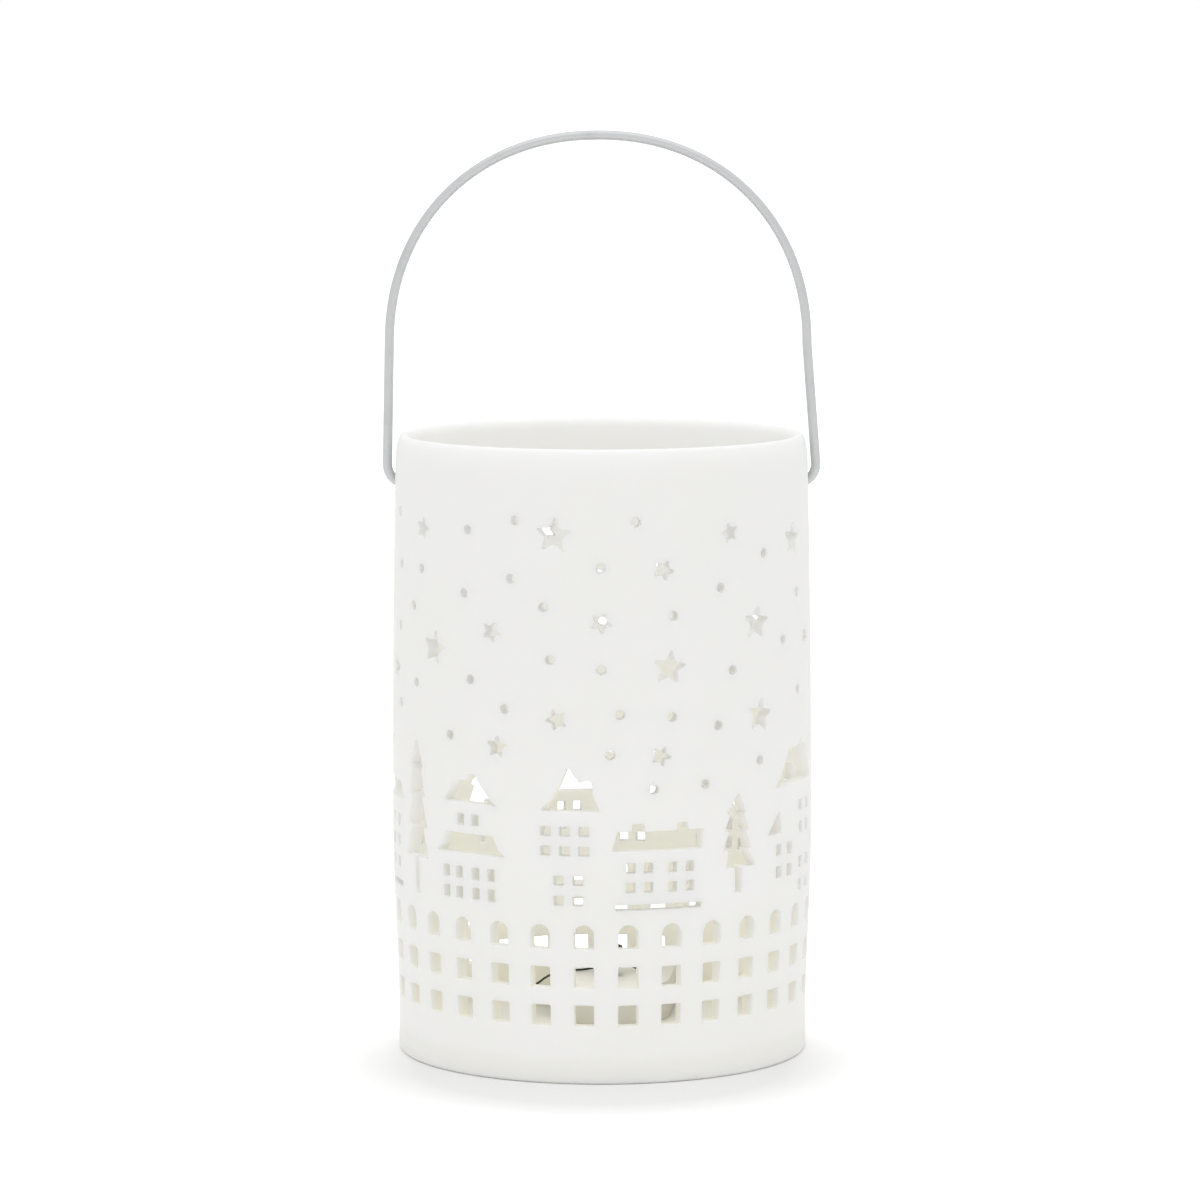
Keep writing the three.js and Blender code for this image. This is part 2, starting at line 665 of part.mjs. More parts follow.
function resistor() {
  const y = GLAND_Y + GLAND_PITCH / 2;
  const left = -1;
  const right = left + RESISTOR_LENGTH;
  const pinX = SWITCH_X;
  const body = crossBar(left, right, y, WIRING_Z, RESISTOR_DIAMETER, 12);
  const legs = wire(
    [
      [left - 1, y, WIRING_Z],
      [left + 1, y, WIRING_Z],
      [right + 1.4, y, WIRING_Z],
      [pinX - 0.4, y + 0.8, WIRING_Z - 0.8],
      [pinX, y + 2.4, SWITCH_LOW - 0.8],
      [pinX, SWITCH_Y - PIN / 2 - CLEARANCE, SWITCH_LOW - 0.8],
    ],
    PIN,
    14,
    6,
  );
  return body.add(legs);
}

// The holder: a collar on a narrower stem, with a seat for the diode and a notch behind for the leads
function ledHolder() {
  const low = CASE_HEIGHT + CLEARANCE;
  const half = (LED_LEG_PITCH + LEAD_NOTCH) / 2;
  const sill = low + LEAD_AT_HOLDER - LEAD_NOTCH / 2;
  const stem = bar(LED_X, LED_Y, low, low + HOLDER_HEIGHT, HOLDER_STEM, 24);
  const collar = bar(LED_X, LED_Y, low + STEM_HEIGHT, low + HOLDER_HEIGHT, HOLDER_DIAMETER, 24);
  const cup = bar(LED_X, LED_Y, low + LED_SEAT, low + HOLDER_HEIGHT + 1, LED_FLANGE + 2 * CLEARANCE, 24);
  const hollow = bar(LED_X, LED_Y, low + HOLDER_FLOOR, low + LED_SEAT + 1, LED_DIAMETER - 0.4, 24);
  const notch = block([LED_X - half, LED_Y, sill], [LED_X + half, LED_Y + HOLDER_DIAMETER, sill + LEAD_NOTCH]);
  return stem.add(collar).subtract(joined([cup, hollow, notch]));
}

function ledBulb() {
  const low = CASE_HEIGHT + 2 * CLEARANCE + LED_SEAT;
  const radius = LED_DIAMETER / 2;
  const points = [[0, low], [LED_FLANGE / 2, low], [LED_FLANGE / 2, low + LED_FLANGE_HEIGHT]];
  const spring = low + LED_HEIGHT - radius;
  points.push([radius, low + LED_FLANGE_HEIGHT]);
  for (let i = 0; i < 5; i++) {
    const turn = (i / 5) * (Math.PI / 2);
    points.push([radius * Math.cos(turn), spring + radius * Math.sin(turn)]);
  }
  points.push([0, low + LED_HEIGHT]);
  return turned(points, 20).translate([LED_X, LED_Y, 0]);
}

function ledLeg(side, length) {
  const high = CASE_HEIGHT + CLEARANCE + LED_SEAT;
  const x = LED_X + (side * LED_LEG_PITCH) / 2;
  const half = LED_LEG / 2;
  return block([x - half, LED_Y - half, high - length], [x + half, LED_Y + half, high]);
}

const LEAD_TOP = CASE_HEIGHT + CLEARANCE + LEAD_AT_HOLDER;
const ON_CASE = CASE_HEIGHT + CLEARANCE + LEAD / 2;
const LEAD_START = LED_Y + LED_LEG / 2 + CLEARANCE;
const OUT_OF_HOLDER = LED_Y + HOLDER_DIAMETER / 2 + 0.4;

// From the diode's left leg over the side of the case, round in a loop and into the gland
function leadNegative() {
  const x = LED_X - LED_LEG_PITCH / 2;
  const y = GLAND_Y - GLAND_PITCH / 2;
  return wire(
    [
      [x, LEAD_START, LEAD_TOP],
      [x, OUT_OF_HOLDER, LEAD_TOP],
      [-2.6, 4.2, ON_CASE + 0.9],
      [-5.4, 5, ON_CASE + 0.3],
      [-8.1, 3.8, ON_CASE],
      [-10.6, 2.4, ON_CASE],
      [-13.5, -0.8, ON_CASE],
      [-16.2, -5.3, ON_CASE],
      [-17.4, -8.8, ON_CASE - 0.3],
      [-18.8, -12.2, ON_CASE - 1],
      [-21, -13, ON_CASE - 2],
      [-23.3, -10.2, 7],
      [-24.6, -5.4, 5.2],
      [-24.4, 0.2, 3.6],
      [-22.4, 4.3, 2.9],
      [-20.4, y - 0.4, GLAND_Z],
      [-18.2, y, GLAND_Z],
      [-16.8, y, GLAND_Z],
      [-13.4, y, GLAND_Z],
      [-11.8, y, GLAND_Z + 0.5],
      [-9.6, y, WIRING_Z - 0.4],
      [-8, y, WIRING_Z],
      [TAIL_X - 0.6, y, WIRING_Z],
    ],
    LEAD,
    64,
  );
}

// From the diode's right leg over the back of the case, along the floor and into the gland
function leadPositive() {
  const x = LED_X + LED_LEG_PITCH / 2;
  const y = GLAND_Y + GLAND_PITCH / 2;
  return wire(
    [
      [x, LEAD_START, LEAD_TOP],
      [x, OUT_OF_HOLDER, LEAD_TOP + 0.1],
      [1.1, 4.4, ON_CASE + 1.4],
      [3.2, 5.6, ON_CASE + 1.3],
      [5, 5.7, ON_CASE + 0.6],
      [6.6, 6, ON_CASE],
      [8.8, 7.4, ON_CASE],
      [10.6, 10.7, ON_CASE],
      [10.4, 14.9, ON_CASE],
      [9, 18.8, ON_CASE],
      [7.4, 21.7, ON_CASE - 1.2],
      [5.9, 23.2, 6.2],
      [3.4, 24, 3.2],
      [-2.1, 23.6, 2.4],
      [-10.1, 22.6, 2.3],
      [-15.7, 20.9, 2.3],
      [-19.8, 17.5, 2.3],
      [-22.6, 13.4, 2.4],
      [-23, 9.9, 2.6],
      [-20.8, y + 0.1, GLAND_Z],
      [-18.4, y, GLAND_Z],
      [-16.8, y, GLAND_Z],
      [-13.4, y, GLAND_Z],
      [-11.8, y, GLAND_Z + 0.5],
      [-9.6, y, WIRING_Z - 0.4],
      [-8, y, WIRING_Z],
      [-2.4, y, WIRING_Z],
    ],
    LEAD,
    72,
  );
}

const PORCELAIN = 0xecece6;
const WIRE_GREY = 0xb9bab8;
const CASE_WHITE = 0xe4e2d8;
const STEEL = 0xc8cacb;
const BRASS = 0xc9b06a;
const BLACK = 0x1b1b1c;

const lantern = new THREE.Group();
lantern.add(piece("ceramic_shell", ceramicShell(), PORCELAIN, 0.75));
lantern.add(piece("bail_handle", wire(bailPath(), WIRE, 76, 10), WIRE_GREY, 0.42, 0.85));

const light = new THREE.Group();
light.position.set(LIGHT_X, LIGHT_Y, FLOOR + CLEARANCE);
light.rotation.z = rad(LIGHT_TURN);
light.add(piece("case_tray", caseTray(), CASE_WHITE, 0.55));
light.add(piece("case_cover", caseCover(), CASE_WHITE, 0.55));
light.add(piece("cover_screw", coverScrew(), STEEL, 0.35, 0.9));
light.add(piece("coin_cell_lower", coinCell(LOWER_CELL), STEEL, 0.28, 0.95));
light.add(piece("coin_cell_upper", coinCell(UPPER_CELL), STEEL, 0.28, 0.95));
light.add(piece("contact_negative", contactNegative(), STEEL, 0.3, 0.95));
light.add(piece("contact_positive", contactPositive(), STEEL, 0.3, 0.95));
light.add(piece("switch_body", switchBody(), BLACK, 0.5));
light.add(piece("switch_contact", switchContact(), BRASS, 0.35, 0.9));
light.add(piece("switch_slider", switchSlider(), BLACK, 0.5));
light.add(piece("resistor", resistor(), 0xb99a6a, 0.5));
light.add(piece("lead_gland", leadGland(), BLACK, 0.8));
light.add(piece("lead_negative", leadNegative(), BLACK, 0.6));
light.add(piece("lead_positive", leadPositive(), BLACK, 0.6));
light.add(piece("led_holder", ledHolder(), BLACK, 0.6));
light.add(piece("led_bulb", ledBulb(), 0xf3ead2, 0.2));
light.add(piece("led_leg_long", ledLeg(1, 2), STEEL, 0.3, 0.95));
light.add(piece("led_leg_short", ledLeg(-1, 1.7), STEEL, 0.3, 0.95));
lantern.add(light);

export default lantern;
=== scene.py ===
import math

import bmesh
import bpy
from mathutils import Matrix, Vector, kdtree
from mathutils.geometry import delaunay_2d_cdt


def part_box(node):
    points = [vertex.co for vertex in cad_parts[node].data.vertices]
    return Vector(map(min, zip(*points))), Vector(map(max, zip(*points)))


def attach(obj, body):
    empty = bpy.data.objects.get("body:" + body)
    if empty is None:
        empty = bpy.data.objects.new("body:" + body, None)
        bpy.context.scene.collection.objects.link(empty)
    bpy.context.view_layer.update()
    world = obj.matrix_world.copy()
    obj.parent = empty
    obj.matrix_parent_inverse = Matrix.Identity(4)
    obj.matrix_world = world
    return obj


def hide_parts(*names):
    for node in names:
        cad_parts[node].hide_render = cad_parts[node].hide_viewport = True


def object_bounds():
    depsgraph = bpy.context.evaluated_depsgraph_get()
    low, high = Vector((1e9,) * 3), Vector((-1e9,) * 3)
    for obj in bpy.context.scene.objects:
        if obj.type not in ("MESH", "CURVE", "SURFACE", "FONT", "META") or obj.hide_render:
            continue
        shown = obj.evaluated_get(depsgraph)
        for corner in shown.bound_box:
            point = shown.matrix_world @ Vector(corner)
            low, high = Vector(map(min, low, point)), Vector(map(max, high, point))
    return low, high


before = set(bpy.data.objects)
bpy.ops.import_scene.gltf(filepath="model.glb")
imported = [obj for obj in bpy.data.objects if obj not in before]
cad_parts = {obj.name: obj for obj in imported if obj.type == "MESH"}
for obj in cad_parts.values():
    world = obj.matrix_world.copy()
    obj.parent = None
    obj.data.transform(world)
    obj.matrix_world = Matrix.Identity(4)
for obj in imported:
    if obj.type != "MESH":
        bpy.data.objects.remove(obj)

bl_info = {
    "name": "Pierced porcelain lantern",
    "version": (1, 0, 0),
    "blender": (4, 5, 0),
    "location": "3D View > Sidebar > Lantern",
    "description": "Dresses a pierced porcelain lantern, its wire bail and its battery light",
    "category": "Object",
}

MM = 0.001
CAD_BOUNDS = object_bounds()

# Outline of the wall
BASE_RADIUS = 53.6
WIDEST_RADIUS = 55
MOUTH_RADIUS = 53.6
SWELL_START = 8
SWELL_END = 58
BODY_HEIGHT = 162
FLOOR = 5
FLOOR_FILLET = 1.5
FOOT_RING_WIDTH = 7
FOOT_RECESS = 0.8
LIP_SHOULDER = 8
LIP_INNER_DROP = 2.5

# The stretch of the wall that carries the ornament, and how finely it is divided
BAND_LOW = 11
BAND_HIGH = 154
SIDES = 180
ROW_STEP = 2.6
EDGE_STEP = 1.9
SEAM = 82.3

# Arcade of windows round the foot
COLUMNS = 30
FIRST_COLUMN = 7
PANE_WIDTH = 5.2
PANE_HEIGHT = 5.4
PANE_ROWS = (17.7, 27.6)
ARCH_SILL = 35
ARCH_HEIGHT = 6.2

# Village and sky, which run round the wall twice
REPEATS = 2
SLOT_HEIGHT = 1.4
STAR_NOTCH = 0.46
FIR_WAIST = 0.6
FIR_UNDERCUT = 0.3

# Stars as (angle, height, reach, direction of one point)
STARS = (
    (-58, 139.8, 3.4, 78), (-13.1, 140.3, 5.1, 86), (37, 140, 3.1, 32), (64.8, 136.4, 5, 85),
    (16.8, 131.4, 3.2, 64), (90, 124, 4.9, 80), (-0.3, 118.3, 3.2, 61), (46.6, 116.4, 5, 84),
    (-31.1, 115.2, 3.2, 64), (74.5, 110.4, 3, 60), (-52, 109.6, 5, 79), (18.3, 106.6, 4.9, 83),
    (104, 102.3, 3.5, 80), (-12.2, 93.6, 3.2, 40), (47.6, 92.6, 4.9, 83), (87, 92, 3.2, 70),
    (-29.3, 86, 3.3, 85), (15.9, 84.2, 3, 65),
)

# Round holes as (angle, height)
DOTS = (
    (-24.1, 143.8), (9.2, 143.7), (105.2, 143), (-39.1, 140.8), (86.5, 139), (49.8, 134.1),
    (-0.3, 132.2), (107.6, 129.5), (-58.5, 129.5), (-25.3, 129), (33.7, 126.2), (-40.3, 124.6),
    (67.5, 122.5), (-15.9, 122.1), (19.4, 119.8), (117.2, 119.6), (107.2, 113.5), (58.5, 111),
    (92, 109), (-14, 108.8), (-0.2, 106.4), (37.5, 105), (-37.9, 102.7), (-60.8, 99.8),
    (67.7, 97.3), (-26.9, 95.8), (4.8, 95), (19, 94.1), (108.4, 93.5), (32.7, 91.2),
    (-45.2, 87.9), (2.2, 84.8), (98, 83), (47.5, 81), (28.6, 76.5), (13.9, 75.8),
)
DOT_DIAMETER = 2.45

# Firs: the tip, each tier as (height, reach to the left, reach to the right), and the trunk
FIRS = (
    {
        "angle": -60.5, "tip": 85.2, "trunk": 1.9, "foot": 45,
        "tiers": ((78, 3.7, 3.3), (70.6, 3.9, 4.2), (62.5, 4.6, 5.2), (54.6, 5.8, 6)),
    },
    {
        "angle": 39.4, "tip": 73.3, "trunk": 2.2, "foot": 47.6,
        "tiers": ((68, 3.9, 2.6), (63.6, 4.5, 3.7), (58.7, 5.2, 4.5), (54, 4.1, 6.3)),
    },
)

# Houses: roof outlines, groups of windows as (places across, heights, width, height), doorstep slot
HOUSES = (
    {
        "angle": -38.6,
        "roofs": (
            ((-8.6, 71), (7, 71), (8.9, 70.6), (7.2, 71.7), (2.9, 77), (2.2, 78.4), (0.2, 78.4),
             (-0.3, 76.7), (-4.4, 76.5)),
            ((-11.5, 57.8), (11.4, 57.8), (9.3, 59.4), (7.5, 63), (-7.7, 63), (-9.3, 59.4)),
        ),
        "windows": (
            ((-2.6, 2.2), (66.6,), 2.3, 2.9),
            ((-7.7, -3.1, 2.4, 7.2), (52.8, 47.6), 2.3, 3.1),
        ),
    },
    {
        "angle": -9,
        "roofs": (
            ((-7.6, 70.3), (8, 70.3), (6.3, 74.3), (5.9, 77.6), (5.2, 78.3), (4, 78.2), (3, 77.4),
             (1.3, 79.6), (0.3, 81.2), (-0.4, 81.2), (-2.4, 76.6), (-4.4, 73.2)),
        ),
        "windows": (
            ((-6, -1, 3.9), (65.2, 60.2), 2.7, 2.5),
            ((-2.6, 2.4), (52.6, 47.4), 2.6, 2.5),
        ),
    },
    {
        "angle": 15.4,
        "roofs": (
            ((-12.3, 60.1), (11.7, 60.1), (12, 65.2), (7.7, 65.2), (7.7, 67.1), (4.8, 67.1),
             (4.8, 65.2), (-4, 65.1), (-4, 67.1), (-7.2, 67.1), (-7.2, 65.1), (-10.8, 65.1)),
        ),
        "windows": (((-7.5, -2.9, 3.5, 8.2), (55.8, 50.8), 2.3, 2.7),),
        "step": (-11.3, 11.5, 45.7),
    },
    {
        "angle": 66,
        "roofs": (
            ((-11.4, 72.8), (12.5, 73), (8.2, 82.5), (5.4, 82.7), (5.2, 84.2), (3.1, 84.2),
             (2.4, 82.7), (-4.5, 82.2), (-5.7, 80), (-8.2, 76.4)),
            ((-14.5, 61), (-8.5, 61), (-9.1, 67.2)),
        ),
        "windows": (
            ((-9.4, -4), (56.6, 50.9), 2.7, 3.1),
            ((3.4, 9.1), (66.8, 61, 52, 46), 2.7, 2.8),
        ),
    },
    {
        "angle": 97,
        "roofs": (((-12.5, 68.3), (12.7, 68.3), (10.5, 72.8), (-10, 73)),),
        "windows": (((-8.5, -3, 3, 8.5), (62.5, 57, 51.5), 2.5, 2.8),),
        "step": (-11, 11.3, 45.9),
    },
)

# Wire bail
PIVOT_HEIGHT = 149.4
EAR_HOLE = 4.6
BEND_RADIUS = 5
BEND_RISE = 4.34
ARCH_HALF_WIDTH = 54.4
ARCH_SPRING = 185
ARCH_RISE = 54.4
ARCH_SQUARENESS = 2.12
ARCH_LEAN = -0.85
WIRE_END = 5

# Place of the battery light, and the heights of its leads above its own underside
LIGHT_PLACE = (2.67, 18.75, 5.25)
LIGHT_TURN = -6
ON_CASE = 10.35
AT_HOLDER = 11.05
AT_GLAND = 2.7
IN_CASE = 5.2

# Route of each lead in the light's own frame, from the diode to its soldered end
LEAD_ROUTES = {
    "negative": (
        (-1.92, -1.35, AT_HOLDER), (-1.92, 2.1, AT_HOLDER), (-2.6, 4.2, ON_CASE + 0.9),
        (-5.4, 5, ON_CASE + 0.3), (-8.1, 3.8, ON_CASE), (-10.6, 2.4, ON_CASE), (-13.5, -0.8, ON_CASE),
        (-16.2, -5.3, ON_CASE), (-17.4, -8.8, ON_CASE - 0.3), (-18.8, -12.2, ON_CASE - 1),
        (-21, -13, ON_CASE - 2), (-23.3, -10.2, 7), (-24.6, -5.4, 5.2), (-24.4, 0.2, 3.6),
        (-22.4, 4.3, 2.9), (-20.4, 5.6, AT_GLAND), (-18.2, 6, AT_GLAND), (-16.8, 6, AT_GLAND),
        (-13.4, 6, AT_GLAND), (-11.8, 6, AT_GLAND + 0.5), (-9.6, 6, IN_CASE - 0.4), (-8, 6, IN_CASE),
        (-6.6, 6, IN_CASE),
    ),
    "positive": (
        (0.62, -1.35, AT_HOLDER), (0.62, 2.1, AT_HOLDER + 0.1), (1.1, 4.4, ON_CASE + 1.4),
        (3.2, 5.6, ON_CASE + 1.3), (5, 5.7, ON_CASE + 0.6), (6.6, 6, ON_CASE), (8.8, 7.4, ON_CASE),
        (10.6, 10.7, ON_CASE), (10.4, 14.9, ON_CASE), (9, 18.8, ON_CASE), (7.4, 21.7, ON_CASE - 1.2),
        (5.9, 23.2, 6.2), (3.4, 24, 3.2), (-2.1, 23.6, 2.4), (-10.1, 22.6, 2.3), (-15.7, 20.9, 2.3),
        (-19.8, 17.5, 2.3), (-22.6, 13.4, 2.4), (-23, 9.9, 2.6), (-20.8, 8.1, AT_GLAND),
        (-18.4, 8, AT_GLAND), (-16.8, 8, AT_GLAND), (-13.4, 8, AT_GLAND), (-11.8, 8, AT_GLAND + 0.5),
        (-9.6, 8, IN_CASE - 0.4), (-8, 8, IN_CASE), (-2.4, 8, IN_CASE),
    ),
}

# Outline of the diode's resin, as (radius, height) above the underside of its flange
BULB_HEIGHT = 8.6
BULB_SHOULDER = 3.4
BULB_FLANGE = ((2.6, 0), (2.7, 0.1), (2.7, 0.9), (2.6, 1), (2.5, 1.05))
RESISTOR_ENDS = (-1, 3.2)

# The collar's stem, drawn in from the CAD's, and the gap between the case's rim and the floor
STEM_TOP = 2.4
STEM_RADIUS = 3.2
STEM_SHRINK = 0.24
RIM_GAP = 0.03

# Heights in metres over which the porcelain's painted light and shade change: lighter near the foot and
# inside under the mouth, a painted warm light low down inside, painted shade behind the roofs and where the
# inside wall meets the floor
FOOT_PAINTED_LIGHT_HEIGHTS = (0.0, 0.03)
LOW_INSIDE_PAINTED_LIGHT_HEIGHTS = (0.06, 0.11)
MOUTH_PAINTED_LIGHT_HEIGHTS = (0.09, 0.12)
UPPER_INSIDE_PAINTED_SHADE_HEIGHTS = (0.028, 0.044)
FLOOR_CORNER_PAINTED_SHADE_HEIGHTS = (0.0055, 0.008)

# Stage: where the floor keeps its shadow, partly cast and partly painted since the fade is centred in front
# of the lantern, and where it fades to white, and the lamps
PAINTED_SHADOW_MIDDLE = (0, -0.03, 0)
PAINTED_SHADOW_FADE = (0.047, 0.11)
FLOOR_GLOW = 0.6
KEY_PLACE = Vector((0, -0.12, 0.95))
KEY_AIM = Vector((0, 0, 0.05))
KEY_SIZE = 1.0
FILL_PLACE = (0, -0.008, 0.05)
FILL_RADIUS = 0.015


def linear(red, green, blue):
    """A colour written as a screen shows it, from 0 to 255, as the linear values that shaders use."""
    def one(value):
        share = value / 255
        return share / 12.92 if share <= 0.04045 else ((share + 0.055) / 1.055) ** 2.4

    return (one(red), one(green), one(blue))


def colour_prop(name, description, default):
    return bpy.props.FloatVectorProperty(
        name=name, description=description, subtype="COLOR", size=3, min=0, max=1, default=default
    )


def length_prop(name, description, default):
    return bpy.props.FloatProperty(
        name=name, description=description, default=default * MM, min=0, unit="LENGTH", precision=5
    )


class PorcelainSettings(bpy.types.PropertyGroup):
    """Sizes and colours of the pierced body"""

    wall: length_prop("Wall", "Thickness of the porcelain wall", 3.6)
    hole_edge: length_prop("Hole edge", "Rounding along the edges of the pierced holes", 0.28)
    pane_corner: length_prop("Pane corner", "Rounding in the corners of the windows", 0.45)
    body: colour_prop("Body", "Bisque porcelain where it is plain", linear(248, 248, 245))
    # Painted light: the warm inside tone stands in for light bounced round inside the wall, not a colour of
    # the porcelain itself
    inner: colour_prop("Inside", "Porcelain inside, low down, where light turns warm", linear(246, 243, 231))
    # Painted shade: the darker, less warm tone inside behind the roofs stands in for the inner wall's shading
    upper: colour_prop("Upper inside", "Porcelain inside, behind the roofs", linear(235, 234, 226))
    grain: length_prop("Grain", "Size of the grain that bisque porcelain shows", 0.35)


class BailSettings(bpy.types.PropertyGroup):
    """Sizes and colour of the wire bail"""

    wire: length_prop("Wire", "Diameter of the wire", 2.5)
    sides: bpy.props.IntProperty(name="Sides", description="Sides of the wire", default=20, min=6, max=64)
    coat: colour_prop("Coat", "Silver grey coat of the wire", linear(203, 204, 205))


class LightSettings(bpy.types.PropertyGroup):
    """Finishes of the battery light"""

    edge: length_prop("Moulded edge", "Rounding along the edges of moulded parts", 0.3)
    lead: length_prop("Lead", "Diameter of an insulated lead", 0.6)
    case: colour_prop("Case", "Plastic of the battery case", linear(225, 223, 215))
    insulation: colour_prop("Insulation", "Coating of the two leads", linear(26, 26, 27))
    resin: colour_prop("Resin", "Tint of the diode's resin", linear(250, 240, 205))


class StageSettings(bpy.types.PropertyGroup):
    """Floor, lamps and camera"""

    floor: colour_prop("Floor", "Floor under the lantern", linear(242, 242, 242))
    sky: bpy.props.FloatProperty(name="Sky", description="Even light from all round", default=0.845, min=0)
    key: bpy.props.FloatProperty(name="Key", description="Power of the large lamp above", default=1.8, min=0)
    inside: bpy.props.FloatProperty(
        name="Inside", description="Light that fills the inside", default=0.0245, min=0
    )
    distance: length_prop("Distance", "Camera to the lantern's axis, along the floor", 1384.02)
    height: length_prop("Height", "Height of the camera", 275.77)
    tilt: bpy.props.FloatProperty(
        name="Tilt", description="Downward tilt of the camera", subtype="ANGLE", default=math.radians(6.501)
    )


# Materials


class Nodes:
    """A node tree under construction, and short calls for the nodes that the trees share"""

    def __init__(self, tree):
        self.tree = tree
        tree.nodes.clear()

    def fill(self, socket, value):
        """Links a socket to another node's output, or gives it a value or a colour of its own"""
        if isinstance(value, bpy.types.NodeSocket):
            self.tree.links.new(value, socket)
        elif value is not None:
            socket.default_value = (*value[:3], 1) if socket.type == "RGBA" else value

    def node(self, kind, **inputs):
        made = self.tree.nodes.new(kind)
        for name, value in inputs.items():
            self.fill(made.inputs[name.replace("_", " ")], value)
        return made

    def math(self, operation, first, second=0.0):
        made = self.tree.nodes.new("ShaderNodeMath")
        made.operation = operation
        self.fill(made.inputs[0], first)
        self.fill(made.inputs[1], second)
        return made.outputs[0]

    def spread(self, value, low, high, to_low, to_high):
        """A value carried from one range to another, and held at its ends"""
        limits = {"From_Min": low, "From_Max": high, "To_Min": to_low, "To_Max": to_high}
        return self.node("ShaderNodeMapRange", Value=value, **limits).outputs["Result"]

    def seen(self):
        """1 for what the camera sees straight on, in gloss or through glass, and 0 for light"""
        path = self.node("ShaderNodeLightPath").outputs
        plain = self.math("MAXIMUM", path["Is Camera Ray"], path["Is Glossy Ray"])
        return self.math("MAXIMUM", plain, path["Is Transmission Ray"])


class Finish(Nodes):
    """A material under construction"""

    def __init__(self, name):
        self.material = bpy.data.materials.new(name)
        self.material.use_nodes = True
        super().__init__(self.material.node_tree)
        self.place = self.node("ShaderNodeTexCoord").outputs["Object"]

    def noise(self, size, detail=2.0, vector=None, roughness=0.5):
        """Noise whose features are about size metres across"""
        where = {"Vector": vector or self.place, "Scale": 1 / size}
        return self.node("ShaderNodeTexNoise", Detail=detail, Roughness=roughness, **where).outputs["Fac"]

    def stretched(self, x, y, z):
        """The piece's own coordinates, scaled along each axis"""
        return self.node("ShaderNodeMapping", Vector=self.place, Scale=(x, y, z)).outputs["Vector"]

    def blend(self, share, first, second):
        made = self.tree.nodes.new("ShaderNodeMix")
        made.data_type = "RGBA"
        for index, value in ((0, share), (6, first), (7, second)):
            self.fill(made.inputs[index], value)
        return made.outputs[2]

    def bump(self, height, depth, strength=1.0, under=None):
        given = {"Height": height, "Distance": depth, "Strength": strength, "Normal": under}
        return self.node("ShaderNodeBump", **given).outputs["Normal"]

    def surface(self, colour, roughness, metallic=0.0, normal=None, **others):
        """The shader and the output that end the tree"""
        given = {"Base_Color": colour, "Roughness": roughness, "Metallic": metallic, "Normal": normal}
        shader = self.node("ShaderNodeBsdfPrincipled", **given, **others)
        self.node("ShaderNodeOutputMaterial", Surface=shader.outputs[0])
        return self.material


def shade(colour, factor):
    return tuple(min(1.0, channel * factor) for channel in colour[:3])


def porcelain_finish(settings):
    """Bisque porcelain: faint clouding and a fine grain, with painted light and shade: lighter near the foot
    and inside under the mouth, a warmer tone low down inside that is painted bounced light, painted shade
    inside behind the roofs and just above the floor
    """
    finish = Finish("bisque_porcelain")
    axes = finish.node("ShaderNodeSeparateXYZ", Vector=finish.place).outputs
    across = finish.math("MULTIPLY", axes[0], axes[0])
    along = finish.math("MULTIPLY", axes[1], axes[1])
    radius = finish.math("SQRT", finish.math("ADD", across, along))
    skin = (WIDEST_RADIUS * MM - settings.wall * 0.25, WIDEST_RADIUS * MM - settings.wall * 0.9)
    inside = finish.spread(radius, skin[1], skin[0], 1.0, 0.0)
    # Painted light: low down inside, the porcelain takes the warm inside tone, which stands in for bounced
    # light
    low = finish.spread(axes[2], *LOW_INSIDE_PAINTED_LIGHT_HEIGHTS, 1.0, 0.0)
    # Painted light: the body is 6 per cent lighter outside near the foot and inside under the mouth
    foot = finish.spread(axes[2], *FOOT_PAINTED_LIGHT_HEIGHTS, 1.0, 0.0)
    mouth = finish.math("MULTIPLY", inside, finish.spread(axes[2], *MOUTH_PAINTED_LIGHT_HEIGHTS, 0.0, 1.0))
    body = finish.blend(finish.math("MAXIMUM", foot, mouth), settings.body, shade(settings.body, 1.06))
    # Painted shade: higher up inside, the warm tone turns to the darker upper tone
    inner = finish.blend(finish.spread(axes[2], *UPPER_INSIDE_PAINTED_SHADE_HEIGHTS, 0.0, 1.0), settings.inner, settings.upper)
    plain = finish.blend(finish.math("MULTIPLY", inside, low), body, inner)
    # Painted shade: just above the inside floor, where wall and floor meet, the porcelain is darkened
    floor_corner_painted_shade = finish.math("MULTIPLY", inside, finish.spread(axes[2], *FLOOR_CORNER_PAINTED_SHADE_HEIGHTS, 1.0, 0.0))
    plain = finish.blend(floor_corner_painted_shade, plain, shade(settings.inner, 0.9))
    clouds = finish.spread(finish.noise(0.03, detail=3.0), 0.35, 0.65, 0.0, 1.0)
    colour = finish.blend(clouds, plain, finish.blend(0.5, plain, shade(settings.body, 0.95)))
    grain = finish.noise(settings.grain, detail=3.0, roughness=0.65)
    waves = finish.noise(0.012, detail=1.0)
    normal = finish.bump(waves, 0.00012, 0.5)
    normal = finish.bump(grain, 0.00003, 0.6, under=normal)
    roughness = finish.spread(grain, 0.3, 0.7, 0.5, 0.62)
    depth = {"Subsurface_Weight": 0.8, "Subsurface_Radius": (1.0, 0.96, 0.9), "Subsurface_Scale": 0.003}
    return finish.surface(colour, roughness, normal=normal, IOR=1.5, **depth)


def coated_wire_finish(settings):
    """Silver grey coat on drawn wire, with a slight orange peel and rubbed spots"""
    finish = Finish("silver_coat")
    peel = finish.noise(0.0009, detail=2.0)
    worn = finish.spread(finish.noise(0.006, detail=4.0), 0.55, 0.75, 0.0, 1.0)
    colour = finish.blend(worn, settings.coat, shade(settings.coat, 0.9))
    roughness = finish.spread(peel, 0.3, 0.7, 0.34, 0.46)
    return finish.surface(colour, roughness, metallic=0.3, normal=finish.bump(peel, 0.000012, 0.5))


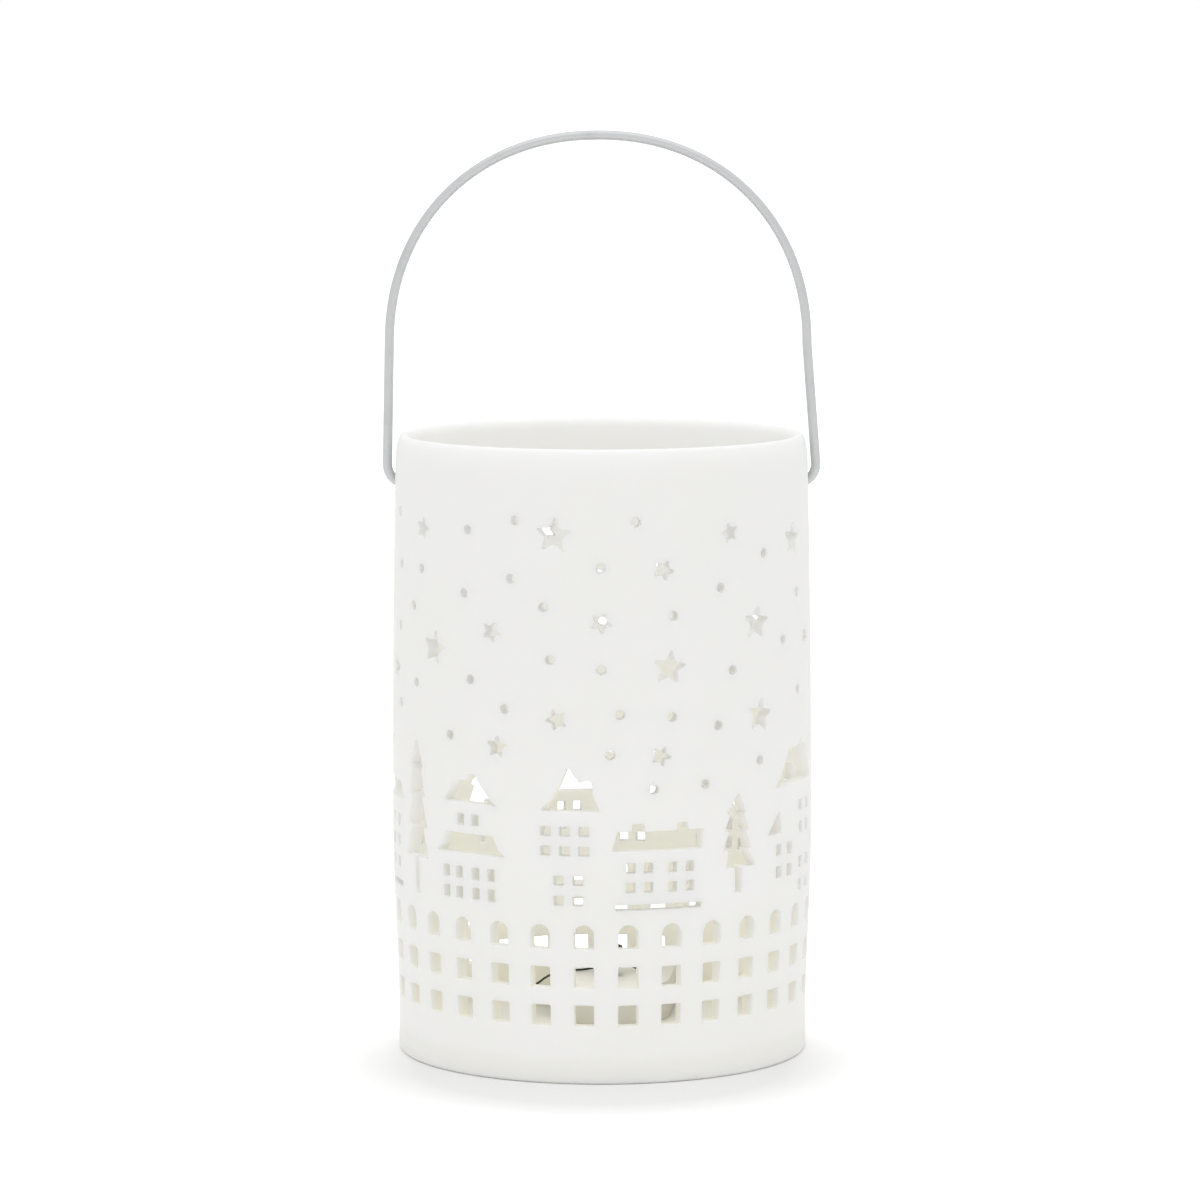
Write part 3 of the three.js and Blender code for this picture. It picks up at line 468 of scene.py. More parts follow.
def moulded_finish(name, colour, gloss=0.45, texture=0.0004):
    """Moulded plastic: a fine spark-eroded texture and faint flow marks"""
    finish = Finish(name)
    grain = finish.noise(texture, detail=2.0)
    flow = finish.spread(finish.noise(0.008, detail=2.0), 0.35, 0.65, 0.0, 1.0)
    tone = finish.blend(flow, colour, shade(colour, 0.95))
    roughness = finish.spread(grain, 0.3, 0.7, gloss - 0.06, gloss + 0.06)
    return finish.surface(tone, roughness, normal=finish.bump(grain, 0.00002, 0.7))


def metal_finish(name, colour, gloss=0.28, lines=(1.0, 1.0, 1.0)):
    """Bare metal with fine rolling or drawing lines and a few duller patches"""
    finish = Finish(name)
    lined = finish.noise(0.0006, detail=3.0, vector=finish.stretched(*lines))
    dull = finish.spread(finish.noise(0.004, detail=3.0), 0.4, 0.7, 0.0, 1.0)
    tone = finish.blend(dull, colour, shade(colour, 0.88))
    roughness = finish.spread(lined, 0.3, 0.7, gloss - 0.07, gloss + 0.09)
    return finish.surface(tone, roughness, metallic=1.0, normal=finish.bump(lined, 0.00001, 0.5))


def rubber_finish(name, colour, gloss=0.6):
    finish = Finish(name)
    grain = finish.noise(0.0003, detail=3.0)
    dust = finish.spread(finish.noise(0.003, detail=4.0), 0.5, 0.75, 0.0, 1.0)
    tone = finish.blend(dust, colour, shade([channel + 0.01 for channel in colour], 1.5))
    roughness = finish.spread(grain, 0.3, 0.7, gloss - 0.08, gloss + 0.1)
    return finish.surface(tone, roughness, normal=finish.bump(grain, 0.00002, 0.6))


def resin_finish(settings):
    """Clear epoxy of the diode, with a warm tint and faint swirls"""
    finish = Finish("diode_resin")
    swirl = finish.noise(0.0015, detail=1.0)
    tone = finish.blend(finish.spread(swirl, 0.3, 0.7, 0.0, 1.0), settings.resin, shade(settings.resin, 0.96))
    return finish.surface(
        tone, 0.08, normal=finish.bump(swirl, 0.00002, 0.3), IOR=1.54, Transmission_Weight=0.8
    )


def banded_finish(start, end, direction, colour, bands, tin):
    """Resistor lacquer with colour bands across its own axis, and bare tinned wire past its ends"""
    finish = Finish("resistor_lacquer")
    along = finish.node("ShaderNodeVectorMath", Vector=finish.place)
    along.operation = "DOT_PRODUCT"
    along.inputs[1].default_value = direction
    share = finish.spread(along.outputs["Value"], start, end, 0.0, 1.0)
    tone = finish.blend(finish.noise(0.001), colour, shade(colour, 0.9))
    for middle, width, band in bands:
        off = finish.math("ABSOLUTE", finish.math("SUBTRACT", share, middle))
        tone = finish.blend(finish.math("LESS_THAN", off, width / 2), tone, band)
    past = finish.math("GREATER_THAN", finish.math("ABSOLUTE", finish.math("SUBTRACT", share, 0.5)), 0.499)
    tone = finish.blend(past, tone, tin)
    normal = finish.bump(finish.noise(0.0005), 0.00002, 0.5)
    return finish.surface(tone, 0.35, metallic=past, normal=normal)


# Meshes


def mesh_object(name, vertices, faces, normals=None):
    """A smooth object from vertices in millimetres, with its normals where they are given"""
    mesh = bpy.data.meshes.new(name)
    mesh.from_pydata([tuple(c * MM for c in v) for v in vertices], [], faces)
    mesh.polygons.foreach_set("use_smooth", [True] * len(mesh.polygons))
    mesh.validate()
    if normals is not None:
        mesh.normals_split_custom_set_from_vertices(normals)
    made = bpy.data.objects.new(name, mesh)
    bpy.context.scene.collection.objects.link(made)
    return made


def settled(obj):
    """obj with its modifiers worked into its mesh"""
    depsgraph = bpy.context.evaluated_depsgraph_get()
    mesh = bpy.data.meshes.new_from_object(obj.evaluated_get(depsgraph), depsgraph=depsgraph)
    mesh.name = obj.name
    made = bpy.data.objects.new(obj.name + "_settled", mesh)
    bpy.context.scene.collection.objects.link(made)
    name = obj.name
    bpy.data.objects.remove(obj)
    made.name = name
    return made


def dress(obj, material, body, slot, *nodes):
    """Gives a piece its finish and its body, and hides the CAD nodes that it stands for; slot is not used"""
    obj.data.materials.clear()
    obj.data.materials.append(material)
    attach(obj, body)
    if nodes:
        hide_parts(*nodes)
    return obj


def refined(node, name, edge, segments=2, angle=32):
    """A copy of a CAD node with its loose triangles joined, its flats made whole and its edges rounded"""
    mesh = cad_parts[node].data.copy()
    mesh.name = name
    work = bmesh.new()
    work.from_mesh(mesh)
    bmesh.ops.remove_doubles(work, verts=work.verts, dist=0.002 * MM)
    bmesh.ops.dissolve_limit(work, angle_limit=math.radians(1), verts=work.verts, edges=work.edges)
    work.to_mesh(mesh)
    work.free()
    mesh.polygons.foreach_set("use_smooth", [True] * len(mesh.polygons))
    made = bpy.data.objects.new(name, mesh)
    bpy.context.scene.collection.objects.link(made)
    bevel = made.modifiers.new("rounded edges", "BEVEL")
    bevel.width = edge
    bevel.segments = segments
    bevel.limit_method = "ANGLE"
    bevel.angle_limit = math.radians(angle)
    bevel.use_clamp_overlap = True
    bevel.harden_normals = True
    return settled(made)


# Outlines of the ornament, in millimetres along the wall and up


def rounded(points, convex, reflex, steps=3):
    """The outline with its corners rounded: convex is for the hole's corners, reflex for the wall's, which
    get the larger share of an edge that runs between the two"""
    points = [Vector(point) for point in points]
    count = len(points)
    edges = [points[(i + 1) % count] - points[i] for i in range(count)]
    bulges = [edges[i - 1].cross(edges[i]) < 0 for i in range(count)]
    outline = []
    for i, corner in enumerate(points):
        a, b = -edges[i - 1].normalized(), edges[i].normalized()
        turn = a.angle(b)
        if turn > math.radians(170):
            outline.append(corner)
            continue
        radius = reflex if bulges[i] else convex
        reach = radius / math.tan(turn / 2)
        for edge, neighbour in ((edges[i - 1], bulges[i - 1]), (edges[i], bulges[(i + 1) % count])):
            share = 0.46 if neighbour == bulges[i] else 0.64 if bulges[i] else 0.32
            reach = min(reach, share * edge.length)
        radius = reach * math.tan(turn / 2)
        centre = corner + (a + b).normalized() * (radius / math.sin(turn / 2))
        start, end = corner + a * reach - centre, corner + b * reach - centre
        sweep = start.angle_signed(end)
        for k in range(steps + 1):
            outline.append(centre + Matrix.Rotation(-sweep * k / steps, 2) @ start)
    return outline


def divided(outline, step=EDGE_STEP):
    """The outline with points added so that no edge is longer than the step"""
    points = []
    for i, here in enumerate(outline):
        there = outline[(i + 1) % len(outline)]
        count = max(1, math.ceil((there - here).length / step))
        points.extend(here.lerp(there, k / count) for k in range(count))
    return points


def pane_outline(middle, height, width, tall, corner):
    left, right, low, high = middle - width / 2, middle + width / 2, height - tall / 2, height + tall / 2
    return rounded([(left, low), (right, low), (right, high), (left, high)], corner, corner)


def arch_outline(corner):
    half = PANE_WIDTH / 2
    spring = ARCH_SILL + ARCH_HEIGHT - half
    crown = [
        (half * math.cos(math.pi * i / 12), spring + half * math.sin(math.pi * i / 12)) for i in range(13)
    ]
    sill = rounded([(-half, spring), (-half, ARCH_SILL), (half, ARCH_SILL), (half, spring)], corner, corner)
    return sill[4:12] + [Vector(point) for point in crown]


def circle_outline(height, diameter, count):
    turns = [2 * math.pi * i / count for i in range(count)]
    return [Vector((diameter / 2 * math.cos(t), height + diameter / 2 * math.sin(t))) for t in turns]


def star_outline(height, reach, point):
    outline = []
    for i in range(10):
        turn = math.radians(point + 36 * i)
        length = reach * STAR_NOTCH if i % 2 else reach
        outline.append((length * math.cos(turn), height + length * math.sin(turn)))
    return rounded(outline, 0.32, 0.6)


def fir_outline(tree):
    left, right = [], []
    half = tree["trunk"] / 2
    for i, (height, to_left, to_right) in enumerate(tree["tiers"]):
        last = i == len(tree["tiers"]) - 1
        inner = height + FIR_UNDERCUT
        left += [(-to_left, height), (-half if last else -to_left * FIR_WAIST, inner)]
        right += [(to_right, height), (half if last else to_right * FIR_WAIST, inner)]
    outline = [(0, tree["tip"]), *left, (-half, tree["foot"]), (half, tree["foot"]), *reversed(right)]
    return rounded(outline, 0.3, 0.6)


def ornament(corner):
    """Every hole of the wall as (angle, outline)"""
    holes = []
    for column in range(COLUMNS):
        angle = FIRST_COLUMN + column * 360 / COLUMNS
        for height in PANE_ROWS:
            holes.append((angle, pane_outline(0, height, PANE_WIDTH, PANE_HEIGHT, corner)))
        holes.append((angle, arch_outline(corner)))
    for repeat in range(REPEATS):
        turn = repeat * 360 / REPEATS
        holes += [(angle + turn, star_outline(*star)) for angle, *star in STARS]
        holes += [(angle + turn, circle_outline(height, DOT_DIAMETER, 16)) for angle, height in DOTS]
        holes += [(tree["angle"] + turn, fir_outline(tree)) for tree in FIRS]
        for house in HOUSES:
            angle = house["angle"] + turn
            holes += [(angle, rounded(roof, 0.35, 0.6)) for roof in house["roofs"]]
            for across, heights, width, tall in house["windows"]:
                for height in heights:
                    holes += [(angle, pane_outline(x, height, width, tall, 0.3)) for x in across]
            if "step" in house:
                left, right, height = house["step"]
                slot = pane_outline((left + right) / 2, height, right - left, SLOT_HEIGHT, 0.3)
                holes.append((angle, slot))
    holes += [(side, circle_outline(PIVOT_HEIGHT, EAR_HOLE, 24)) for side in (-90, 90)]
    return holes


def wall_radius(height):
    """Outer radius of the wall: it swells from the foot and draws in to the mouth"""
    share = min(1, max(0, (height - SWELL_START) / (SWELL_END - SWELL_START)))
    below = BASE_RADIUS + (WIDEST_RADIUS - BASE_RADIUS) * share * share * (3 - 2 * share)
    rise = max(0, (height - SWELL_END) / (BODY_HEIGHT - SWELL_END))
    return below - (WIDEST_RADIUS - MOUTH_RADIUS) * rise * rise


class Skin:
    """The vertices, normals and faces of the porcelain body while it is made"""

    def __init__(self, wall, edge):
        self.wall, self.edge = wall, edge
        self.vertices, self.normals, self.faces = [], [], []

    def add(self, along, height, depth, lean=(0.0, 0.0), outward=1.0):
        """A point of the wall, from its place along and up, its depth below the outer skin and its normal:
        lean is the part that lies in the skin, and outward the part square to it"""
        turn = along / WIDEST_RADIUS
        out = Vector((math.sin(turn), -math.cos(turn), 0))
        side = Vector((math.cos(turn), math.sin(turn), 0))
        radius = wall_radius(height) - depth
        slope = wall_radius(height + 0.5) - wall_radius(height - 0.5)
        self.vertices.append((out.x * radius, out.y * radius, height))
        normal = (out - Vector((0, 0, slope))) * outward + side * lean[0] + Vector((0, 0, lean[1]))
        self.normals.append(normal.normalized())
        return len(self.vertices) - 1

    def turned(self, profile, row_before, close=None, downwards=False):
        """Rings of a turned surface that goes on from a row of vertices: profile holds (radius, height,
        normal outwards, normal upwards), and close adds a pole at its last height. The faces of a
        surface that goes down the outside run the other way round"""
        rows = row_before
        first_face = len(self.faces)
        for radius, height, outward, upward in profile:
            row = []
            for i in range(SIDES):
                turn = math.radians(SEAM - 360 + i * 360 / SIDES)
                out = Vector((math.sin(turn), -math.cos(turn), 0))
                self.vertices.append((out.x * radius, out.y * radius, height))
                self.normals.append((out * outward + Vector((0, 0, upward))).normalized())
                row.append(len(self.vertices) - 1)
            self.join(rows, row)
            rows = row
        if close is not None:
            self.vertices.append((0, 0, close[0]))
            self.normals.append(Vector((0, 0, close[1])))
            pole = len(self.vertices) - 1
            self.faces += [(rows[i], rows[(i + 1) % SIDES], pole) for i in range(SIDES)]
        if downwards:
            self.faces[first_face:] = [face[::-1] for face in self.faces[first_face:]]
        return rows

    def join(self, first, second):
        """Quads between two rings"""
        count = len(first)
        for i in range(count):
            j = (i + 1) % count
            self.faces.append((first[i], first[j], second[j], second[i]))


def outline_normals(outline):
    """Unit normals of an outline, out of the hole and into the wall"""
    normals = []
    for i, here in enumerate(outline):
        before, after = here - outline[i - 1], outline[(i + 1) % len(outline)] - here
        first = Vector((before.y, -before.x)).normalized()
        second = Vector((after.y, -after.x)).normalized()
        normals.append((first + second).normalized())
    return normals


def edge_widths(outline, edge):
    """How wide the rounded edge is at each point of an outline: narrower round the wall's own tips"""
    count = len(outline)
    steps = [(outline[(i + 1) % count] - outline[i]) for i in range(count)]
    widths = []
    for i in range(count):
        before, after = steps[i - 1], steps[i]
        turn = math.atan2(before.cross(after), before.dot(after))
        radius = (before.length + after.length) / 2 / max(-turn, 1e-6)
        widths.append(min(edge, 0.8 * radius))
    for i in list(range(count)) * 2:
        widths[i] = min(widths[i], widths[i - 1] + 0.5 * steps[i - 1].length)
    for i in reversed(list(range(count)) * 2):
        widths[i] = min(widths[i], widths[(i + 1) % count] + 0.5 * steps[i].length)
    return widths


def inside_outline(point, outline):
    """Whether a point lies inside a closed outline"""
    x, y = point
    crossings = 0
    for i, (x0, y0) in enumerate(outline):
        x1, y1 = outline[i - 1]
        if (y0 > y) != (y1 > y) and x < x0 + (y - y0) * (x1 - x0) / (y1 - y0):
            crossings += 1
    return crossings % 2 == 1


def placed_holes(holes):
    """The holes' outlines in millimetres along the wall from the front, inside the seam's own turn"""
    placed = []
    for angle, outline in holes:
        wrapped = (angle - SEAM) % 360 + SEAM - 360
        middle = math.radians(wrapped) * WIDEST_RADIUS
        across = [Vector((middle + WIDEST_RADIUS * math.asin(p.x / WIDEST_RADIUS), p.y)) for p in outline]
        placed.append(divided(across))
    return placed


def pierced_band(skin, holes):
    """The pierced stretch of the wall, outer and inner skin and hole edges; returns its end rows"""
    start = math.radians(SEAM - 360) * WIDEST_RADIUS
    girth = 2 * math.pi * WIDEST_RADIUS
    rows = round((BAND_HIGH - BAND_LOW) / ROW_STEP)
    heights = [BAND_LOW + (BAND_HIGH - BAND_LOW) * k / rows for k in range(rows + 1)]
    columns = [start + girth * k / SIDES for k in range(SIDES + 1)]

    outlines = placed_holes(holes)
    leans = [outline_normals(outline) for outline in outlines]
    widths = [edge_widths(outline, skin.edge) for outline in outlines]
    wide = [
        [p + n * w for p, n, w in zip(outline, lean, width)]
        for outline, lean, width in zip(outlines, leans, widths)
    ]

    points, edges, owner = [], [], []
    for number, outline in enumerate(wide):
        first = len(points)
        points += outline
        owner += [number] * len(outline)
        edges += [(first + i, first + (i + 1) % len(outline)) for i in range(len(outline))]
    rim = len(points)
    near = kdtree.KDTree(rim)
    for i, point in enumerate(points):
        near.insert((point.x, point.y, 0), i)
    near.balance()

    frame_ring = [(column, heights[0]) for column in columns[:-1]]
    frame_ring += [(columns[-1], height) for height in heights[:-1]]
    frame_ring += [(column, heights[-1]) for column in reversed(columns[1:])]
    frame_ring += [(columns[0], height) for height in reversed(heights[1:])]
    border = len(points)
    points += [Vector(point) for point in frame_ring]
    edges += [(border + i, border + (i + 1) % len(frame_ring)) for i in range(len(frame_ring))]
    boxes = [
        (min(p.x for p in o), max(p.x for p in o), min(p.y for p in o), max(p.y for p in o)) for o in wide
    ]
    for k, height in enumerate(heights[1:-1]):
        shift = 0.5 * (k % 2) * girth / SIDES
        for column in columns[1:-1]:
            x = column + shift
            if x > columns[-1] - 0.6 or near.find((x, height, 0))[2] < 1.05:
                continue
            held = any(
                b[0] < x < b[1] and b[2] < height < b[3] and inside_outline((x, height), o)
                for b, o in zip(boxes, wide)
            )
            if not held:
                points.append(Vector((x, height)))
    owner += [-1] * (len(points) - len(owner))

    made, _, triangles, sources, _, _ = delaunay_2d_cdt(points, edges, [], 0, 1e-6, True)
    if len(made) != len(points):
        raise RuntimeError(f"{len(made) - len(points)} outlines of the ornament cross each other")
    source = [ids[0] for ids in sources]

    # The last column of the border is the first one again, where the band closes on itself
    first_column = {}
    for i in range(border, border + len(frame_ring)):
        if abs(points[i].x - columns[0]) < 1e-3:
            first_column[round(points[i].y, 2)] = i
    same = list(range(len(points)))
    for i in range(border, border + len(frame_ring)):
        if abs(points[i].x - columns[-1]) < 1e-3:
            same[i] = first_column[round(points[i].y, 2)]

    outer = {}
    inner = {}
    for i, point in enumerate(points):
        if same[i] == i:
            outer[i] = skin.add(point.x, point.y, 0)
            inner[i] = skin.add(point.x, point.y, skin.wall, outward=-1)
    for triangle in triangles:
        a, b, c = (source[v] for v in triangle)
        if owner[a] >= 0 and owner[a] == owner[b] == owner[c]:
            middle = (points[a] + points[b] + points[c]) / 3
            if inside_outline(middle, wide[owner[a]]):
                continue
        if (points[b] - points[a]).cross(points[c] - points[a]) < 0:
            b, c = c, b
        a, b, c = same[a], same[b], same[c]
        skin.faces.append((outer[a], outer[b], outer[c]))
        skin.faces.append((inner[a], inner[c], inner[b]))

    hole_edges(skin, outlines, leans, widths, outer, inner)
    low = sorted((i for i in outer if abs(points[i].y - BAND_LOW) < 1e-3), key=lambda i: points[i].x)
    high = sorted((i for i in outer if abs(points[i].y - BAND_HIGH) < 1e-3), key=lambda i: points[i].x)
    return {
        "outer low": [outer[i] for i in low],
        "inner low": [inner[i] for i in low],
        "outer high": [outer[i] for i in high],
        "inner high": [inner[i] for i in high],
    }


def hole_edges(skin, outlines, leans, widths, outer, inner):
    """The rounded edges and the sides of the holes"""
    first = 0
    for outline, lean, width in zip(outlines, leans, widths):
        count = len(outline)
        rings = [[outer[first + i] for i in range(count)]]
        for degrees, outward in ((45, 1), (90, 1), (90, -1), (45, -1)):
            c, s = math.cos(math.radians(degrees)), math.sin(math.radians(degrees))
            ring = []
            for point, normal, edge in zip(outline, lean, width):
                depth = edge * (1 - c)
                place = point + normal * edge * (1 - s)
                depth = depth if outward > 0 else skin.wall - depth
                ring.append(skin.add(place.x, place.y, depth, lean=-normal * s, outward=outward * c))
            rings.append(ring)
        rings.append([inner[first + i] for i in range(count)])
        for near, far in zip(rings, rings[1:]):
            for i in range(count):
                j = (i + 1) % count
                skin.faces.append((near[i], near[j], far[j], far[i]))
        first += count


def arc(centre_radius, centre_height, radius, tall, start, end, steps):
    """Points of a rounded edge as (radius, height, normal outwards, normal upwards)"""
    made = []
    for k in range(steps + 1):
        turn = math.radians(start + (end - start) * k / steps)
        c, s = math.cos(turn), math.sin(turn)
        made.append((centre_radius + radius * c, centre_height + tall * s, c / radius, s / tall))
    return made


def porcelain_mesh(settings):
    """The whole body: the pierced band, the foot and floor below it and the lip above it"""
    wall = settings.wall / MM
    skin = Skin(wall, settings.hole_edge / MM)
    rows = pierced_band(skin, ornament(settings.pane_corner / MM))

    foot_edge = 0.8
    ring = BASE_RADIUS - FOOT_RING_WIDTH
    foot = [(wall_radius(8.5), 8.5, 1, 0), (BASE_RADIUS, 5, 1, 0)]
    foot += arc(BASE_RADIUS - foot_edge, foot_edge, foot_edge, foot_edge, 0, -90, 4)
    foot += arc(ring + 0.5, 0.5, 0.5, 0.5, -90, -180, 3)
    foot += [(ring - 0.4, FOOT_RECESS, 0, -1), (ring - 3, FOOT_RECESS, 0, -1), (ring / 2, FOOT_RECESS, 0, -1)]
    skin.turned(foot, rows["outer low"], (FOOT_RECESS, -1), downwards=True)

    inside = BASE_RADIUS - wall
    floor = [(wall_radius(9.4) - wall, 9.4, -1, 0)]
    for radius, height, outward, upward in arc(
        inside - FLOOR_FILLET, FLOOR + FLOOR_FILLET, FLOOR_FILLET, FLOOR_FILLET, 0, -90, 6
    ):
        floor.append((radius, height, -outward, -upward))
    floor += [(radius, FLOOR, 0, 1) for radius in (38, 24, 10)]
    skin.turned(floor, rows["inner low"], (FLOOR, 1))

    shoulder = BODY_HEIGHT - LIP_SHOULDER
    crown = wall_radius(shoulder) - wall / 2
    lip = arc(crown, shoulder, wall / 2, LIP_SHOULDER, 0, 90, 12)[1:]
    lip += arc(crown, BODY_HEIGHT - LIP_INNER_DROP, wall / 2, LIP_INNER_DROP, 90, 180, 8)[1:]
    top = skin.turned(lip, rows["outer high"])
    skin.join(top, rows["inner high"])
    return mesh_object("porcelain_body", skin.vertices, skin.faces, skin.normals)


class LANTERN_OT_porcelain(bpy.types.Operator):
    """Makes the pierced porcelain body with its village, its sky and its rounded hole edges"""

    bl_idname = "lantern.porcelain"
    bl_label = "Porcelain body"

    def execute(self, context):
        settings = context.scene.lantern_porcelain
        body = porcelain_mesh(settings)
        dress(body, porcelain_finish(settings), "shell", "porcelain", "ceramic_shell")
        return {"FINISHED"}


# Wire bail


def swept_tree():
    """Geometry nodes that sweep a round section along a path"""
    tree = bpy.data.node_groups.new("swept wire", "GeometryNodeTree")
    for name, kind in (("Path", "Geometry"), ("Diameter", "Float"), ("Sides", "Int"), ("Finish", "Material")):
        tree.interface.new_socket(name, in_out="INPUT", socket_type="NodeSocket" + kind)
    tree.interface.new_socket("Wire", in_out="OUTPUT", socket_type="NodeSocketGeometry")
    nodes = Nodes(tree)
    given = nodes.node("NodeGroupInput").outputs
    radius = nodes.math("MULTIPLY", given["Diameter"], 0.5)
    circle = nodes.node("GeometryNodeCurvePrimitiveCircle", Radius=radius, Resolution=given["Sides"])
    section = {"Profile_Curve": circle.outputs["Curve"], "Fill_Caps": True}
    wire = nodes.node("GeometryNodeCurveToMesh", Curve=given["Path"], **section)
    wire = nodes.node("GeometryNodeSetShadeSmooth", Geometry=wire.outputs[0])
    wire = nodes.node("GeometryNodeRealizeInstances", Geometry=wire.outputs[0])
    wire = nodes.node("GeometryNodeSetMaterial", Geometry=wire.outputs[0], Material=given["Finish"])
    nodes.node("NodeGroupOutput", Wire=wire.outputs[0])
    return tree


def swept_wire(name, points, diameter, sides, material):
    """A wire of round section through points in millimetres, with its cut ends slightly eased"""
    curve = bpy.data.curves.new(name, "CURVE")
    curve.dimensions = "3D"
    spline = curve.splines.new("POLY")
    spline.points.add(len(points) - 1)
    for target, point in zip(spline.points, points):
        target.co = (*(c * MM for c in point), 1)
    made = bpy.data.objects.new(name, curve)
    bpy.context.scene.collection.objects.link(made)
    tree = bpy.data.node_groups.get("swept wire") or swept_tree()
    sweep = made.modifiers.new("swept wire", "NODES")
    sweep.node_group = tree
    values = {"Diameter": diameter, "Sides": sides, "Finish": material}
    for item in tree.interface.items_tree:
        if item.in_out == "INPUT" and item.name in values:
            sweep[item.identifier] = values[item.name]
    wire = settled(made)
    ease = wire.modifiers.new("eased ends", "BEVEL")
    ease.width = diameter * 0.12
    ease.segments = 2
    ease.limit_method = "ANGLE"
    ease.angle_limit = math.radians(60)
    return settled(wire)


def bail_path():
    """Middle line of the bail, from the left wire end round to the right wire end"""
    lowest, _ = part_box("bail_handle")
    leg = -lowest.x / MM - bpy.context.scene.lantern_bail.wire / MM / 2
    bend_height = PIVOT_HEIGHT + BEND_RISE

    def side(sign):
        centre = sign * (leg - BEND_RADIUS)
        points = [(centre - sign * WIRE_END, bend_height - BEND_RADIUS)]
        points += [
            (
                centre + sign * BEND_RADIUS * math.sin(math.radians(turn)),
                bend_height - BEND_RADIUS * math.cos(math.radians(turn)),
            )
            for turn in range(0, 91, 9)
        ]
        foot, top = points[-1], (ARCH_LEAN + sign * ARCH_HALF_WIDTH, ARCH_SPRING)
        points += [
            (foot[0] + (top[0] - foot[0]) * k / 12, foot[1] + (top[1] - foot[1]) * k / 12)
            for k in range(1, 11)
        ]
        return points

    power = 2 / ARCH_SQUARENESS
    arch = []
    for turn in range(180, -1, -2):
        c, s = math.cos(math.radians(turn)), math.sin(math.radians(turn))
        x = math.copysign(abs(c) ** power, c)
        arch.append((ARCH_LEAN + ARCH_HALF_WIDTH * x, ARCH_SPRING + ARCH_RISE * max(s, 0) ** power))
    return [(x, 0, z) for x, z in side(-1) + arch + side(1)[::-1]]


class LANTERN_OT_bail(bpy.types.Operator):
    """Bends the wire bail along its arch, its legs and its turned-in ends"""

    bl_idname = "lantern.bail"
    bl_label = "Wire bail"

    def execute(self, context):
        settings = context.scene.lantern_bail
        material = coated_wire_finish(settings)
        wire = swept_wire("bail_wire", bail_path(), settings.wire, settings.sides, material)
        dress(wire, material, "bail", "bail_wire", "bail_handle")
        return {"FINISHED"}


# Battery light


class LANTERN_OT_case(bpy.types.Operator):
    """Makes the battery case, its cover and the cover's screw"""

    bl_idname = "lantern.case"
    bl_label = "Battery case"

    def execute(self, context):
        settings = context.scene.lantern_light
        plastic = moulded_finish("case_plastic", settings.case)
        tray = refined("case_tray", "battery_case", settings.edge)
        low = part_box("case_tray")[0].z
        for vertex in tray.data.vertices:
            if vertex.co.z < low + 1.5 * settings.edge:
                vertex.co.z += (FLOOR + RIM_GAP) * MM - low
        dress(tray, plastic, "light", "case_plastic", "case_tray")
        cover = refined("case_cover", "battery_cover", settings.edge)
        dress(cover, plastic, "cover", "case_plastic", "case_cover")
        screw = refined("cover_screw", "battery_cover_screw", 0.08 * MM)
        steel = metal_finish("zinc_steel", linear(205, 207, 209), 0.32)
        dress(screw, steel, "cover", "screw_steel", "cover_screw")
        return {"FINISHED"}


class LANTERN_OT_cells(bpy.types.Operator):
    """Makes the two coin cells and the strips that touch them"""

    bl_idname = "lantern.cells"
    bl_label = "Coin cells and contacts"

    def execute(self, context):
        can = metal_finish("nickel_can", linear(214, 215, 216), 0.24)
        for place in ("lower", "upper"):
            cell = refined("coin_cell_" + place, "cell_" + place, 0.12 * MM, angle=25)
            dress(cell, can, "cover", "cell_steel", "coin_cell_" + place)
        strip = metal_finish("nickel_strip", linear(205, 205, 200), 0.3, lines=(0.2, 1.0, 1.0))
        for pole in ("negative", "positive"):
            contact = refined("contact_" + pole, "strip_" + pole, 0.06 * MM)
            dress(contact, strip, "light", "contact_nickel", "contact_" + pole)
        return {"FINISHED"}


class LANTERN_OT_switch(bpy.types.Operator):
    """Makes the slide switch: its body, its knob and the clip under the knob"""

    bl_idname = "lantern.switch"
    bl_label = "Slide switch"

    def execute(self, context):
        black = moulded_finish("switch_black", linear(30, 30, 31), 0.5, 0.0003)
        body = refined("switch_body", "switch_housing", 0.12 * MM)
        dress(body, black, "light", "switch_plastic", "switch_body")
        knob = refined("switch_slider", "switch_knob", 0.16 * MM)
        dress(knob, black, "slider", "switch_plastic", "switch_slider")
        clip = refined("switch_contact", "switch_clip", 0.05 * MM)
        brass = metal_finish("brass_strip", linear(206, 181, 106), 0.3)
        dress(clip, brass, "slider", "switch_brass", "switch_contact")
        return {"FINISHED"}


def in_lantern(points):
    """Points of the battery light's own frame, in the lantern's frame"""
    place = Matrix.Translation(LIGHT_PLACE) @ Matrix.Rotation(math.radians(LIGHT_TURN), 4, "Z")
    return [place @ Vector(point) for point in points]


def smooth_path(points, steps=8):
    """Points along a smooth curve that passes through the given ones"""
    ends = [2 * points[0] - points[1], *points, 2 * points[-1] - points[-2]]
    path = []
    for a, b, c, d in zip(ends, ends[1:], ends[2:], ends[3:]):
        near, mid, far = (math.sqrt((q - p).length) for p, q in ((a, b), (b, c), (c, d)))
        ahead = ((b - a) / near - (c - a) / (near + mid) + (c - b) / mid) * mid
        after = ((c - b) / mid - (d - b) / (mid + far) + (d - c) / far) * mid
        for k in range(steps):
            t = k / steps
            square = 3 * (c - b) - 2 * ahead - after
            cube = 2 * (b - c) + ahead + after
            path.append(b + t * ahead + t * t * square + t ** 3 * cube)
    return [*path, points[-1]]


